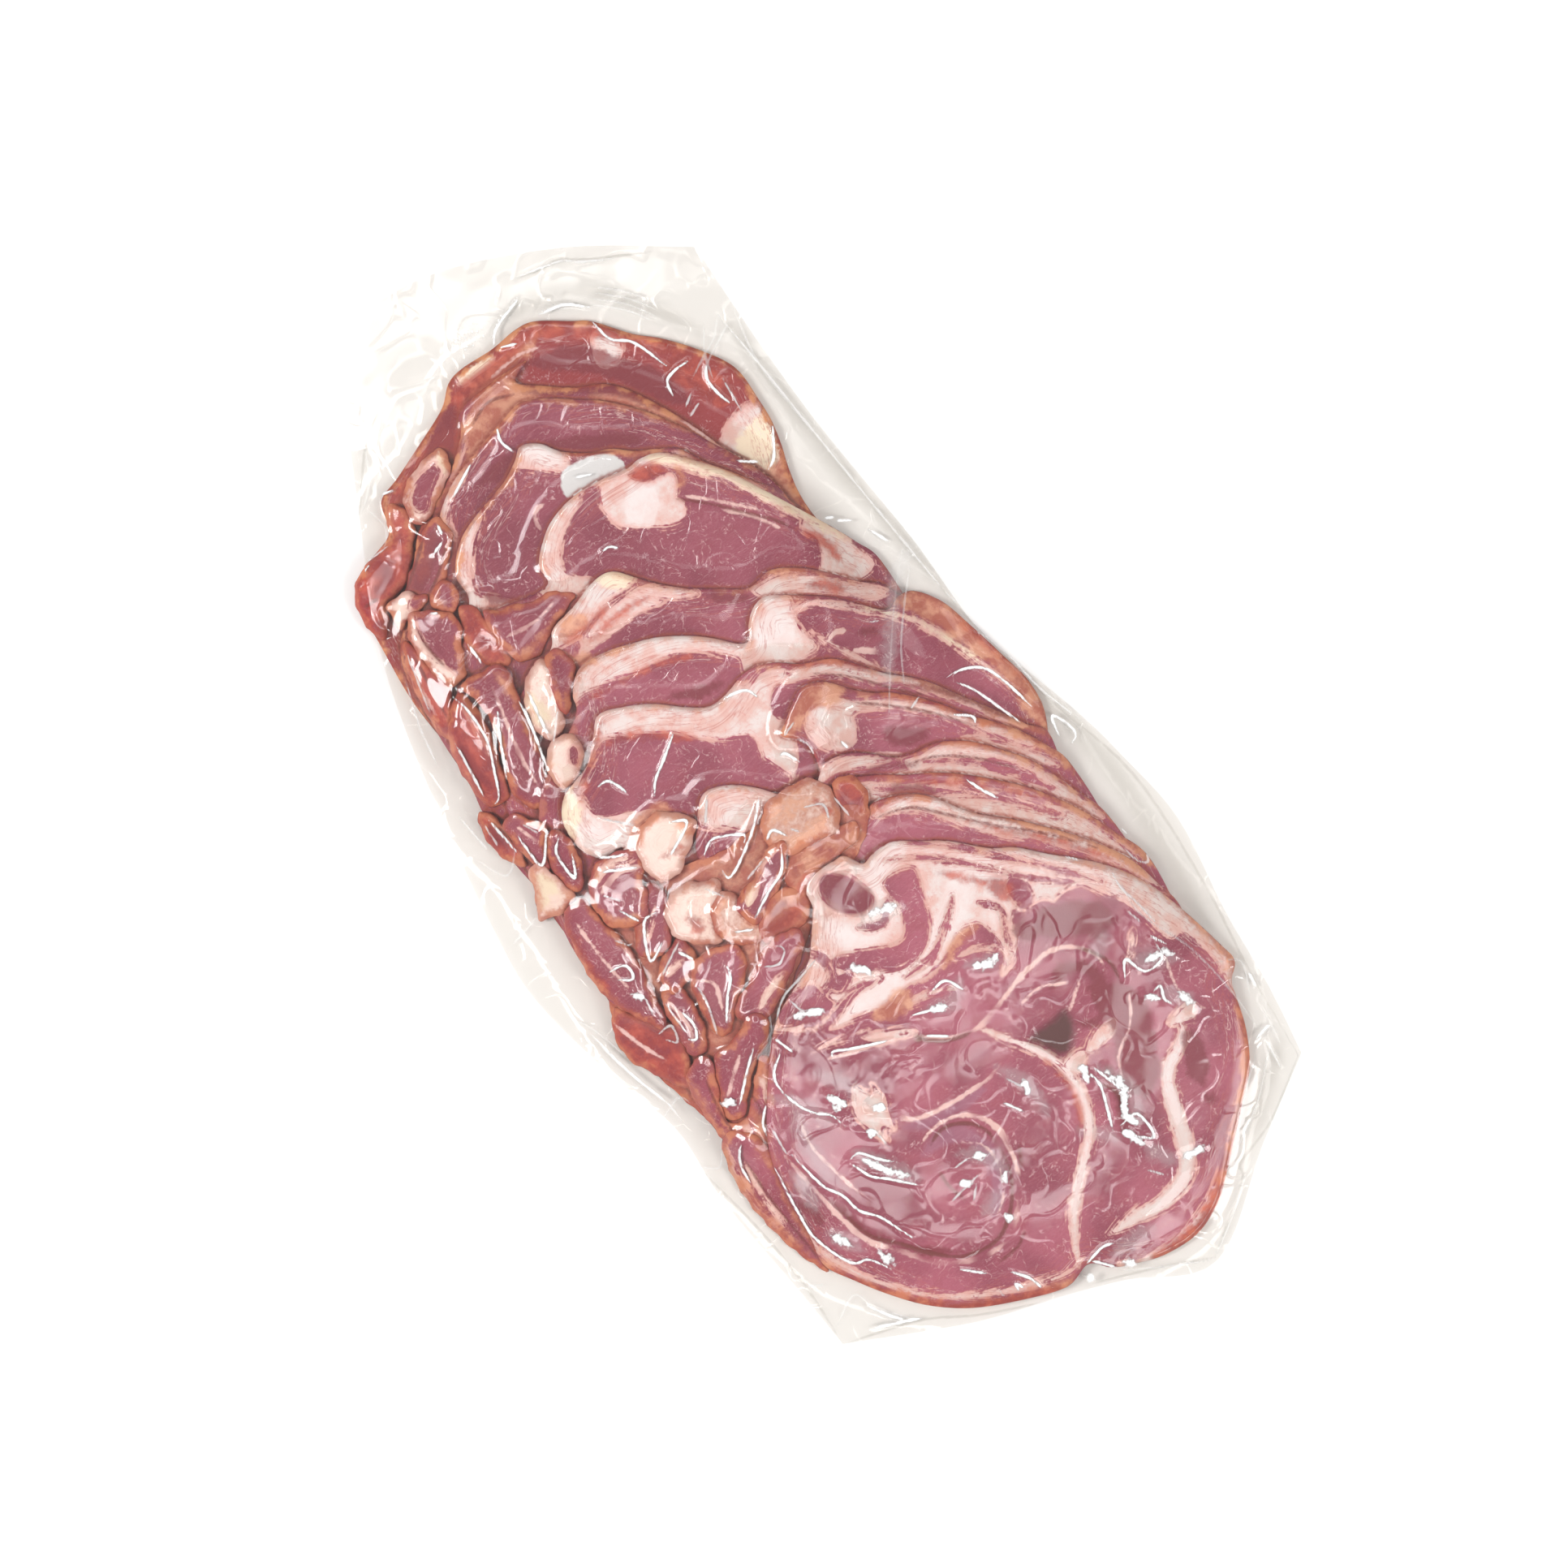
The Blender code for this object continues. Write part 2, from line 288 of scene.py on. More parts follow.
# How softly each kind of mark sets in, how uneven its edge is, and its share of the full effect. The white
# kinds are painted highlights and a painted sheen
FILM_MARKS = {
    "edge": (0.2, 0.4, 0.6),
    "doubled_and_shaded": (2.0, 1.0, 0.42),
    "dots": (0.4, 0.2, 0.8),
    "sharp_highlight": (0.12, 0.5, 0.95),
    "slight_highlight": (0.12, 0.5, 0.5),
    "fine": (0.12, 0.4, 0.25),
    "blister_highlight": (0.45, 3.0, 0.95),
    "painted_sheen": (1.6, 4.0, 0.16),
}
DOUBLING_AND_SHADING_MARKS = ("edge", "doubled_and_shaded")
HIGHLIGHT_MARKS = ("sharp_highlight", "slight_highlight", "fine", "blister_highlight", "painted_sheen")

EDGE_LEFT = [(-63, -114), (-64, -97), (-66, -70), (-65, -50), (-70, -30), (-74, -5), (-72, 15), (-67, 40),
             (-61, 65), (-54, 85), (-40, 112), (-28, 133), (-14, 150)]
EDGE_RIGHT = [(65, -122), (68, -105), (70, -85), (74, -60), (72, -40), (70, -28), (66, -12), (62, 5),
              (62, 30), (60, 65), (60, 90), (61, 116)]
EDGE_NEAR = [(-63, -114), (-35, -128), (-15, -135), (0, -141), (20, -150), (45, -134), (65, -122)]
EDGE_FAR = [(-14, 150), (8, 147), (36, 134), (61, 116)]

# Each slice: name, middle x and y, half width and half length, and the edge that shows, from -X to +X
SLICES = [
    ("slice_01", -1, 64, 55, 60, [
        (-54, 86), (-54, 91), (-52.5, 96), (-49, 99.5), (-45, 101), (-38, 103), (-36, 106), (-34, 111),
        (-28, 113), (-20, 116), (-10, 120), (-5, 124), (0, 125), (8, 124.5), (15, 125), (20, 124),
        (27, 119), (31, 116), (37, 108), (42, 103), (48, 95), (52, 87), (52, 78), (51.5, 72), (50, 66),
        (48, 60), (46.5, 52)]),
    ("slice_02", -5, 57, 50, 61, [
        (-38, 90), (-33, 98), (-25, 103), (-18, 106), (-10, 112), (-7, 116.5), (0, 118), (13, 117.5),
        (8, 115), (12, 111), (18, 106), (25, 102), (30, 95), (35, 84), (38, 75), (41, 66), (43, 58)]),
    ("slice_03", -6, 50, 50, 60, [
        (-36, 88), (-30, 94), (-25, 99.5), (-18, 104), (-10, 106.5), (0, 109), (6, 110), (12, 107),
        (17, 103), (22, 99), (28, 92), (33, 84), (36, 78)]),
    ("slice_04", -5, 42, 50, 59, [
        (-32, 78), (-30, 86), (-24, 92), (-16, 95), (-8, 97), (-3, 99.5), (0, 101.5), (4, 99.5),
        (7, 95), (12, 91), (17, 88.5), (21, 85), (26, 82), (30, 79), (33, 73), (37, 67), (40, 62),
        (43, 57)]),
    ("slice_05", -3, 26, 56, 58, [
        (-15, 71), (-13, 76), (-9, 80), (-4, 83), (3, 84.5), (10, 84), (17, 82.5), (22, 82.5), (27, 80),
        (31, 75), (36, 68), (40, 60), (44, 52), (48, 44), (51, 37), (53, 30)]),
    ("slice_06", -3, 6, 56, 60, [
        (-23, 58), (-19, 62), (-12, 63.5), (-5, 65.5), (0, 65), (3.5, 61), (7, 56.5), (12, 51.5), (18, 47),
        (24, 43), (30, 43.5), (36, 40), (41, 35), (46, 29), (51, 23)]),
    ("slice_07", 0, -8, 60, 59, [
        (-27, 42), (-24, 47), (-19, 51), (-12, 50.5), (-6, 48.5), (0, 46), (6, 42), (10, 38.5), (14, 34),
        (16.5, 33), (19, 36.5), (23, 39), (27, 38.5), (33, 34), (38, 30), (42, 25.5), (47, 20), (51, 21),
        (55, 20), (59, 14), (61, 6), (63, -4), (64.5, -14), (62, -24)]),
    ("slice_08", 0, -20, 60, 59, [
        (-36, 10.5), (-41, 12), (-44, 17), (-43.5, 24), (-40, 28.5), (-36, 30), (-31, 31.5), (-26, 36),
        (-22, 39.5), (-16, 37.5), (-10, 34), (-5, 29.5), (0, 26), (5, 26), (12, 27.5), (18, 25.5),
        (23, 21.5), (30, 18), (35, 12), (38, 8), (44, 2), (49, -6), (54, -14), (58, -21), (61, -27)]),
    ("slice_09", 2, -40, 59, 58, [
        (-26, -5), (-22, 1), (-18, 6), (-13, 10.3), (-7, 8.5), (-2, 4), (2, -1), (7, -4), (11, -3),
        (13, 2), (12.5, 7), (9.5, 10.5), (12, 12.5), (16, 15), (20, 16.8), (25, 15), (29, 10), (33, 6),
        (36, 4), (40, 0), (44, -5), (48, -11), (52, -16), (55, -20), (59, -28), (61, -35)]),
    ("slice_10", 2, -58, 59, 58, [
        (-9, -8), (-4, -5), (4, -5), (10, -3), (14, -0.5), (20, -2), (24, -5), (28, -9), (33, -11),
        (38, -12), (43, -15), (47, -19), (50, -23), (54, -29), (58, -40), (61, -50)]),
    ("slice_11", 3, -66, 59, 59, [
        (9, -8), (13, -6), (17, -7), (20, -8.5), (24, -11), (28, -14), (33, -17), (38, -21), (44, -27),
        (50, -34), (56, -44), (60, -54), (63, -64)]),
    ("slice_12", 3, -73, 59, 59, [
        (14, -15), (17, -14.5), (21, -15.5), (26, -18), (30, -22), (33, -27), (36, -31), (42, -37),
        (48, -44), (54, -52), (59, -61), (61, -70), (62, -78)]),
    ("slice_13", 5, -81, 59, 60, [
        (-55.5, -96), (-54, -88), (-53, -78), (-50.5, -68), (-47, -61.5), (-43, -56), (-38, -50),
        (-33.5, -45), (-28, -41), (-22, -38.5), (-16, -35.5), (-12, -31), (-8, -26), (-7, -22),
        (-3, -20), (2, -20), (5, -20.5), (7.5, -24.5), (11, -24), (16, -24.5), (21, -28), (26, -31.5),
        (30, -35.5), (34, -39.5), (38.5, -42.5), (43.5, -48), (48.5, -53), (53, -58), (57, -64),
        (60, -71), (62.5, -80), (64.5, -90), (65, -95), (61.5, -98.5), (60, -103), (57.5, -110),
        (53, -117.5), (46, -124), (39, -130), (34, -134.5), (28, -139), (20, -142), (11, -141.5),
        (4, -139), (-1, -136.5), (-5, -132.5), (-12, -134), (-22, -130.5), (-33, -125),
        (-41, -118.5), (-47, -111), (-52, -103)]),
]

# Each lobe: name, the slice that it lies on, how far it stands up, its tissue, and its outline
LOBES = [
    ("lobe_red_end", 1, 2.6, "red", [
        (-54, 86), (-54, 92), (-52, 97), (-48, 100), (-42, 101.5), (-37, 102.5), (-36, 106), (-33, 109),
        (-30.5, 106), (-31, 101), (-34, 97.5), (-37, 94), (-41, 91), (-46, 90), (-49, 87), (-52, 84)]),
    ("lobe_lean_eye", 2, 1.5, "lean", [
        (-31, 104), (-29, 109), (-25, 111.5), (-20, 112.8), (-16, 113), (-15, 110), (-17, 106.5),
        (-22, 103.5), (-27, 100.5), (-30, 100.5)]),
    ("lobe_folds_far", 3, 1.4, "lean", [
        (-44, 88), (-41, 91), (-37, 94), (-33, 97), (-28, 100), (-25, 99), (-25, 94), (-28, 91),
        (-32, 87), (-36, 85), (-40, 85)]),
    ("lobe_cream_far", 3, 1.8, "cream", [
        (-48, 88), (-47, 90), (-42, 90), (-40, 88), (-38, 86), (-41, 84), (-45, 84), (-48, 83)]),
    ("lobe_dark_oval", 5, 1.6, "lean", [
        (-37, 86), (-34, 87), (-31.5, 85), (-32, 82), (-34.5, 79), (-37, 80), (-39, 83)]),
    ("lobe_orange", 5, 1.2, "red", [
        (-34, 79), (-31, 78), (-30, 72), (-30, 66), (-31, 62), (-34, 62), (-37, 66), (-37.5, 72)]),
    ("lobe_membrane", 5, 1.2, "lean", [
        (-30, 75), (-26, 73), (-22, 72), (-19, 70), (-15, 70), (-10, 66), (-13, 64), (-19, 62),
        (-25, 59), (-30, 61), (-31, 67)]),
    ("lobe_side_strip", 5, 2.6, "red", [
        (-50, 80), (-48, 80), (-47, 72), (-46, 66), (-49, 60), (-53, 55), (-55, 58), (-54.5, 66),
        (-53, 73), (-51, 78)]),
    ("lobe_eye", 5, 2.4, "lean", [
        (-44, 85), (-40, 83), (-36.5, 80), (-35.5, 76), (-38, 72), (-40, 68), (-42, 65), (-46, 65),
        (-47.5, 70), (-48, 76), (-47.5, 81)]),
    ("lobe_long_outer", 6, 2.6, "red", [
        (-46.5, 63), (-50, 60), (-54, 56), (-56, 50), (-56.5, 44), (-56, 38), (-52, 36), (-49, 38),
        (-47, 44), (-45, 50), (-44, 57), (-44.5, 62)]),
    ("lobe_long_inner", 6, 2.8, "lean", [
        (-44, 64), (-39, 64), (-34, 63), (-33, 60), (-34.5, 54), (-36, 48), (-37, 42), (-39, 36),
        (-41, 30), (-45, 29), (-48, 32), (-49, 37), (-47, 43), (-44, 50), (-43, 57)]),
    ("lobe_cream_upper", 6, 2.2, "fat", [
        (-25, 58), (-29, 57.5), (-33, 54), (-35, 50), (-36, 45), (-34.5, 41), (-31, 41), (-28, 45),
        (-26, 50), (-24, 55)]),
    ("lobe_lean_upper", 6, 1.4, "lean", [
        (-24, 58), (-21, 58), (-19.5, 55), (-20, 51), (-23, 48), (-26, 45), (-28.5, 44), (-28, 49),
        (-26, 54)]),
    ("lobe_cream_lower", 7, 2.0, "cream", [
        (-38.5, 30), (-39.5, 35), (-37, 39.5), (-33, 41), (-30, 40), (-29, 36), (-32, 32), (-35, 30)]),
    ("lobe_side_low", 8, 2.4, "red", [
        (-60, 36), (-58, 38), (-56, 35), (-55, 30), (-55.5, 24), (-57, 21), (-60, 25), (-61, 31)]),
    ("lobe_diamond", 8, 2.6, "lean", [
        (-55.5, 32), (-52, 33), (-49, 29), (-47, 25.5), (-50, 21.5), (-53, 17), (-55.5, 22), (-56, 28)]),
    ("lobe_dark_drop", 8, 2.2, "lean", [
        (-51, 21), (-48, 24), (-45, 23), (-44.5, 18), (-46, 13), (-48.5, 9.5), (-51, 9), (-52.5, 14)]),
    ("lobe_cream_side", 8, 2.0, "cream", [
        (-62, 9.5), (-59, 15), (-57, 20), (-53.5, 19.5), (-52, 13), (-51.5, 8.5), (-56, 7), (-60, 8)]),
    ("lobe_red_knob", 12, 1.3, "red", [
        (10.5, -14), (10.5, -9), (12, -6), (15, -5), (18, -7.5), (18, -12), (15.5, -15.5), (12, -16)]),
    ("bed_near", 12, 0.7, "bed", [
        (-60, -16), (-53, -8), (-48, 2), (-38, 1), (-28, 0), (-18, -3), (-8, -3), (2, -6), (10, -10),
        (16, -15), (8, -22), (-8, -28), (-20, -36), (-36, -47), (-46, -56), (-53, -64), (-57, -54),
        (-60, -42), (-63, -28)]),
    ("lobe_red_edge", 12, 2.4, "red", [
        (-64.4, -27.3), (-63.6, -22.9), (-60, -18), (-57, -21), (-54, -25), (-50.5, -29), (-50.7, -34.4),
        (-53, -39.8), (-55.5, -44.5), (-59.1, -40.5), (-61.8, -35.4), (-64, -31)]),
    ("lobe_red_long", 12, 2.6, "lean", [
        (-57.8, 4.7), (-54.7, 7.5), (-50.2, 7), (-49.3, 0.2), (-48.4, -6), (-48.4, -12.2),
        (-49.6, -19.3), (-50.6, -26.4), (-52.9, -29), (-55.8, -24.5), (-58.6, -18.8), (-60.2, -12.2),
        (-60, -6), (-59, -0.7)]),
    ("lobe_strip_left", 12, 1.9, "lean", [
        (-51.6, -36.2), (-50.6, -28.2), (-49.6, -23.4), (-46.7, -21), (-43.6, -23.4), (-43.6, -28.2),
        (-44.6, -33.6), (-47, -37.8), (-49.8, -39)]),
    ("lobe_small_lean", 12, 1.7, "lean", [
        (-47, -20.2), (-45.4, -16.2), (-41.3, -14), (-36.8, -13.4), (-36.4, -18.8), (-38, -21.8),
        (-43.1, -23.4), (-46.4, -23.2)]),
    ("lobe_pale_lean", 12, 1.9, "lean", [
        (-47.2, -12.2), (-46.8, -9.4), (-44.6, -5.6), (-40.8, -1.8), (-36, 1), (-33.8, -1.2),
        (-34.2, -5.1), (-36.2, -9), (-39, -12.8), (-43.1, -14.6)]),
    ("lobe_block", 12, 2.1, "lean", [
        (-49.4, 4.7), (-47.2, 8.8), (-43.4, 11.8), (-37.8, 11.4), (-32.9, 9), (-33.2, 5.2), (-36.3, 2.4),
        (-37.2, -1), (-41, -5.6), (-45.2, -4.8), (-49, -2)]),
    ("lobe_tan", 12, 1.3, "tan", [
        (-10.4, -21.1), (-9, -15.4), (-5.8, -13), (-0.4, -12.6), (6.7, -13.8), (11.6, -15.4),
        (10.6, -19), (3.1, -20), (-2.2, -20.5), (-5.8, -23), (-9.4, -24.4)]),
    ("lobe_peach", 12, 1.9, "peach", [
        (-8, -6.9), (-6, -2.8), (-2.2, 0), (3.1, 0), (8.8, -1), (11.6, -6), (9.8, -12.6), (6.7, -15),
        (1.3, -14.2), (-4, -13.6), (-6.6, -11.5)]),
    ("lobe_fat_round", 12, 2.1, "fat", [
        (-38, -10.4), (-36.4, -6.3), (-32.4, -3.9), (-28.5, -3.9), (-25.8, -5.6), (-22, -7.6),
        (-22.6, -10.6), (-25.4, -13), (-28.4, -16.4), (-29.4, -20), (-32.4, -19.2), (-35.6, -16.4),
        (-37.7, -13.4)]),
    ("lobe_cream_fold", 12, 1.4, "peach", [
        (-29.4, -16.7), (-27.6, -12.6), (-23.6, -10.6), (-20.4, -12.6), (-21, -15.8), (-20.2, -21.1),
        (-17.6, -24), (-21.8, -25.4), (-26.6, -23.6), (-29, -20.4)]),
    ("lobe_lean_roll", 12, 1.7, "lean", [
        (-22.6, -17.6), (-20.6, -13.8), (-14.9, -12.2), (-11.1, -9.6), (-5.6, -8.6), (-4.2, -10.4),
        (-7, -14.4), (-10.8, -17.4), (-15.6, -20), (-20.4, -21.9)]),
    ("lobe_diamond_near", 12, 1.9, "lean", [
        (-43.4, -37.6), (-43, -30), (-41.2, -23.4), (-37.2, -19.8), (-30.5, -20.6), (-27, -23.4),
        (-28, -27.6), (-31.8, -31.6), (-36.3, -35.2), (-40.2, -38)]),
    ("lobe_brown", 12, 0.8, "tan", [
        (-22, -24), (-18, -20.5), (-12, -18), (-8, -21), (-8, -26), (-14, -28.5), (-20, -28)]),
    ("lobe_roll_near", 12, 1.8, "lean", [
        (-37, -36.6), (-35.8, -33.8), (-30, -31.2), (-23.6, -27.4), (-19.1, -26.4), (-14, -27.4),
        (-13.8, -31.2), (-18, -33.6), (-23.4, -37), (-28.9, -40), (-34.8, -41)]),
    ("lobe_cream_middle", 12, 2.1, "fat", [
        (-33.4, 9), (-31, 12), (-24.6, 13.4), (-20.2, 10), (-18, 6.6), (-20.4, 3.6), (-25, 0.6),
        (-29, -1.6), (-33.4, 0), (-34.4, 4)]),
    ("lobe_lean_corner", 12, 1.9, "lean", [
        (-47.5, -41), (-41, -40), (-36, -38), (-32.5, -38), (-32, -42), (-35, -45.5), (-40, -48),
        (-45, -52), (-50, -56.5), (-53.5, -54), (-51.5, -48)]),
    ("lobe_tan_side", 12, 2.0, "lean", [
        (-52, -39), (-48, -40), (-50, -46), (-53.5, -54), (-51, -57), (-47, -55), (-42, -50),
        (-38, -47), (-36, -50), (-41, -57), (-47, -64), (-51, -70), (-54, -66), (-57, -60),
        (-57.5, -50), (-56, -42)]),
    ("lobe_edge_near", 12, 1.8, "lean", [
        (-57.5, -58), (-53, -58), (-49.5, -63), (-50, -70), (-52.5, -80), (-53.5, -90), (-55.5, -98),
        (-58.4, -92), (-60.3, -84), (-61.3, -74), (-60.4, -65)]),
]

# Tissue painted on each piece, with painted shade in its dark and hole marks: a patch is (kind, outline), a
# band is (kind, half width, line)
PAINT = {
    "slice_13": [
        ("fat", [(-33, -42), (-20, -33), (-10, -18), (5, -14), (20, -20), (35, -34), (50, -50), (60, -62),
                 (64, -74), (57, -82), (54.5, -80), (53.5, -74), (52, -69), (50, -65), (48, -62),
                 (46, -59), (43, -57.7), (40, -58), (38, -58.5), (37, -56.5), (34, -55.8), (31, -55.5),
                 (29.5, -54), (28, -55.5), (27, -58), (26, -61), (23, -63.5), (19, -65.5), (18, -64.5),
                 (21, -62), (22.5, -58), (22, -55), (21, -52), (17, -51), (12, -51.5), (8, -53.5),
                 (4, -55), (0, -54), (-5, -54.5), (-8, -55), (-12, -53.5), (-20, -52), (-25, -49.5),
                 (-30, -46)]),
        ("lean", [(-29, -41), (-24, -39.5), (-19, -40), (-18, -44), (-21, -46), (-26, -46.5), (-30, -44)]),
        ("lean", 1.5, [(-26, -47.5), (-20, -46.5), (-14, -44.5), (-10, -44)]),
        ("fat", 1.6, [(-17, -42), (-16, -46), (-12, -49), (-5, -51), (5, -53), (12, -51), (22, -44)]),
        ("lean", [(9, -31), (13, -30.5), (16.5, -32), (16.3, -35), (14.5, -39), (13.3, -43), (11, -46.5),
                  (8, -48.7), (4, -50), (0, -49.5), (-4, -47), (-8, -44), (-11, -41), (-11.5, -38.8),
                  (-9, -38.8), (-6, -40.3), (-2, -42), (2, -43.8), (5, -43.8), (7.3, -41), (8.8, -37),
                  (8.5, -33.5)]),
        ("lean", [(-3.5, -22.5), (-1, -21.5), (2, -24), (4.5, -29), (4.5, -33), (1, -34), (-2.5, -31.5),
                  (-4.5, -27)]),
        ("dark", [(-3.5, -22.5), (-1, -21.5), (2, -24), (4.5, -29), (4.5, -33), (1, -34), (-2.5, -31.5),
                  (-4.5, -27)]),
        ("red", [(27.5, -46), (30, -44.8), (32, -46.5), (32, -50), (30, -51.5), (28, -50)]),
        ("lean", [(31, -49), (33.5, -47.5), (35.3, -50), (35, -54), (32.5, -56.5), (30.8, -54)]),
        ("warm", [(-12, -55), (-8, -53.6), (-3, -53.4), (-1, -55.4), (-3, -58), (-8, -58.6)]),
        ("warm", 1.0, [(9, -55), (14, -52.5), (21, -52)]),
        ("fat", [(-17, -57), (-12, -58.5), (-7, -61.5), (-5.5, -64), (-9, -63.5), (-14, -60.5)]),
        ("fat", [(-24.5, -65), (-22.5, -69), (-21, -67.2), (-20.3, -71), (-21.5, -75), (-23, -79.5),
                 (-25, -77.5), (-26, -80.5), (-27.8, -78), (-29, -72), (-27.5, -68.5)]),
        ("seam", 0.5, [(-20.6, -73), (-20.3, -77.5), (-18, -80), (-13, -81.6), (-6, -82.4), (1.5, -82.6),
                       (6, -81.5)]),
        ("lilac", 1.2, [(-21, -80.5), (-15, -83), (-8, -83.8), (0, -84)]),
        ("seam", 0.6, [(-29.5, -55.5), (-23, -57.8), (-14.3, -60.8), (-7, -64.4), (-2.8, -68), (3, -70.9),
                       (7.4, -71.5), (13.1, -70.3), (18.9, -68.4), (24.7, -67.2), (30.5, -66.9),
                       (34.8, -68.7), (37.7, -71.6), (39.2, -75.2), (38.6, -79)]),
        ("gap", 0.5, [(-6, -65.5), (-2, -69), (2, -70.8), (5, -71.5)]),
        ("gap", 0.45, [(36, -69.5), (39, -73.5), (40.7, -78), (40, -82.5)]),
        ("hole", 0.6, [(-6.3, -65), (-5, -65.6)]),
        ("fat", 1.25, [(6, -71.5), (8, -73.5), (10.3, -77.4), (13.9, -82.5), (16.6, -88.3), (17.6, -95),
                       (16, -102.2), (12.4, -108), (6.2, -113.6), (0.4, -119.2), (-4.6, -126.3),
                       (-7.3, -132)]),
        ("red", 0.45, [(15.2, -87), (16, -94), (14.4, -101.4), (10.6, -107)]),
        ("hole", [(14.5, -81), (17.5, -80.2), (21.5, -80.4), (25.5, -80), (25.8, -83), (24, -86.3),
                  (21, -88.6), (18.3, -88.2), (17, -85.5), (15.8, -83)]),
        ("seam", 0.3, [(25.5, -81.5), (29, -79), (32.5, -76.5)]),
        ("dark", 1.6, [(26, -74), (31, -72.5), (35, -75), (36, -80), (33, -84)]),
        ("seam", 0.3, [(18, -73), (24, -72.5), (30, -75.5)]),
        ("fat", [(17.5, -90), (22, -89.3), (24.3, -91), (22, -93.3), (20, -94.3), (18.3, -93)]),
        ("fat", [(24, -90.3), (28, -88.3), (33, -88), (34.3, -89.5), (32, -91.7), (27, -92.7), (24, -92)]),
        ("fat", 0.7, [(49.5, -74.5), (47, -77.5), (44, -79.5)]),
        ("fat", [(43, -97), (46, -96), (50, -96), (51.3, -98.4), (49, -100.3), (46, -99.4), (43.3, -98.6)]),
        ("fat", 2.1, [(46.5, -97.5), (44.5, -101.5), (41.5, -103.5), (37.5, -105.5), (35, -108.5),
                      (33.5, -113), (32, -117.5), (30.5, -122), (28, -126), (24.5, -129.5), (18, -130.8),
                      (10, -129.8), (3, -129.5)]),
        ("fat", [(54.5, -68), (56, -76), (58, -81), (60, -86), (61, -92), (60.4, -97), (59.4, -102),
                 (57.4, -107), (54.4, -113.4), (50.4, -118), (45.4, -122.4), (40.4, -127), (34.4, -132.4),
                 (27.4, -136), (20, -138), (14, -138.8), (6, -138), (0, -136), (2, -146), (24, -148),
                 (48, -132),
                 (66, -110), (70, -92), (64, -70), (57, -62)]),
        ("warm", 1.6, [(55, -59.5), (61.5, -73), (64.5, -90), (64, -97), (60, -104), (56, -113), (48, -123),
                       (38, -132), (30, -138), (18, -141.5), (6, -140)]),
        ("red", 2.2, [(7, -140.5), (17, -141.5), (25, -140), (33, -135.5), (41, -129)]),
        ("red", 0.9, [(41, -129), (50, -121), (57, -111), (61, -101)]),
        ("warm", [(-58, -88), (-54.5, -96), (-50, -104.5), (-45, -111.5), (-40, -117.5), (-31, -124),
                  (-21, -128.8), (-12, -132), (-8, -136), (-24, -136), (-40, -126), (-52, -112),
                  (-59, -98)]),
        ("fat", 0.9, [(-54.5, -86), (-53.6, -94), (-49.5, -103.5), (-44.5, -110.5), (-39.5, -116.5),
                      (-30.5, -123), (-20, -128), (-11, -131), (-5, -130.5)]),
        ("red", 1.7,
         [(-54.6, -98), (-49.4, -108), (-42.4, -117), (-33.4, -124.4), (-23, -129.6), (-13, -133.4)]),
        ("seam", 0.65, [(-47.4, -69), (-46.6, -79.6), (-45.6, -88.3), (-43.6, -96.9), (-39, -103.3),
                        (-33.6, -110.6), (-27.3, -115), (-18.6, -116.4), (-11, -112), (-5.6, -104.6),
                        (-3.4, -95.5), (-4.8, -89.4), (-9.6, -85.3), (-15.7, -84.5), (-20.5, -86)]),
        ("gap", 0.5, [(-45.7, -82), (-44.4, -88.6), (-42.5, -96.4), (-37.6, -102.4), (-32.6, -109),
                       (-27, -113.6), (-18.9, -114.8), (-12.2, -110.8), (-7.2, -104), (-5.2, -96)]),
        ("dark", 1.0, [(-45, -84), (-43, -93), (-40, -100), (-34, -107), (-27, -112.4)]),
        ("gap", 0.45, [(-18.5, -87.4), (-15, -86), (-11.5, -86.4), (-8, -88.7), (-6, -92), (-5.5, -96)]),
        ("lilac", 1.8, [(-21, -88), (-15, -87.6), (-10.4, -90), (-8.4, -96), (-10.6, -104), (-16, -110)]),
        ("seam", 0.3, [(-12.1, -91.1), (-8.4, -94.6), (-8.2, -100), (-11, -106.4), (-16.4, -110.8)]),
        ("gap", 0.4, [(-20.3, -93.6), (-20.6, -97.6), (-19.4, -102.7)]),
        ("gap", 0.45, [(-4.3, -104.5), (-3, -102), (-1.5, -99.5)]),
        ("gap", 0.35, [(-21.5, -119.5), (-16, -119), (-12.5, -117)]),
        ("dark", 0.8, [(40, -116.3), (42, -118.5)]),
        ("dark", 1.2, [(-52, -80), (-50, -84), (-50.5, -88)]),
        ("dark", [(45, -101), (48, -103), (46, -110), (42, -114), (40, -110), (42, -105)]),
        ("gap", 0.35, [(22, -99), (24, -103), (23, -108)]),
        ("dark", 1.0, [(25.5, -84), (29, -86.5), (33, -86), (36, -83)]),
        ("seam", 0.3, [(-38, -60), (-41, -70), (-40, -80), (-38, -88)]),
        ("lean", 0.8, [(-28, -50.5), (-20, -50), (-12, -47.5), (-5, -48.5)]),
        ("lean", 0.6, [(20, -43), (15, -47), (8, -51.5), (0, -52)]),
        ("lean", 0.5, [(18, -26), (27, -34), (35, -43), (43, -52), (50, -61)]),
        ("lean", 0.45, [(12, -27), (20, -32), (29, -41), (37, -50), (45, -57.5)]),
        ("lean", 0.7, [(-16, -33), (-13, -37), (-14, -42), (-19, -44.5)]),
        ("red", 0.6, [(20, -36), (26, -43), (34, -50.5)]),
        ("lean", 0.6, [(24, -48), (27, -52), (25, -57), (24, -61)]),
        ("lean", 0.8, [(-2, -36), (3, -38.5), (7, -35)]),
        ("fat", 0.7, [(-9, -56.5), (-1, -57.5), (6, -59.6), (10, -63)]),
        ("fat", 0.6, [(12, -55), (18, -56.5), (22, -60)]),
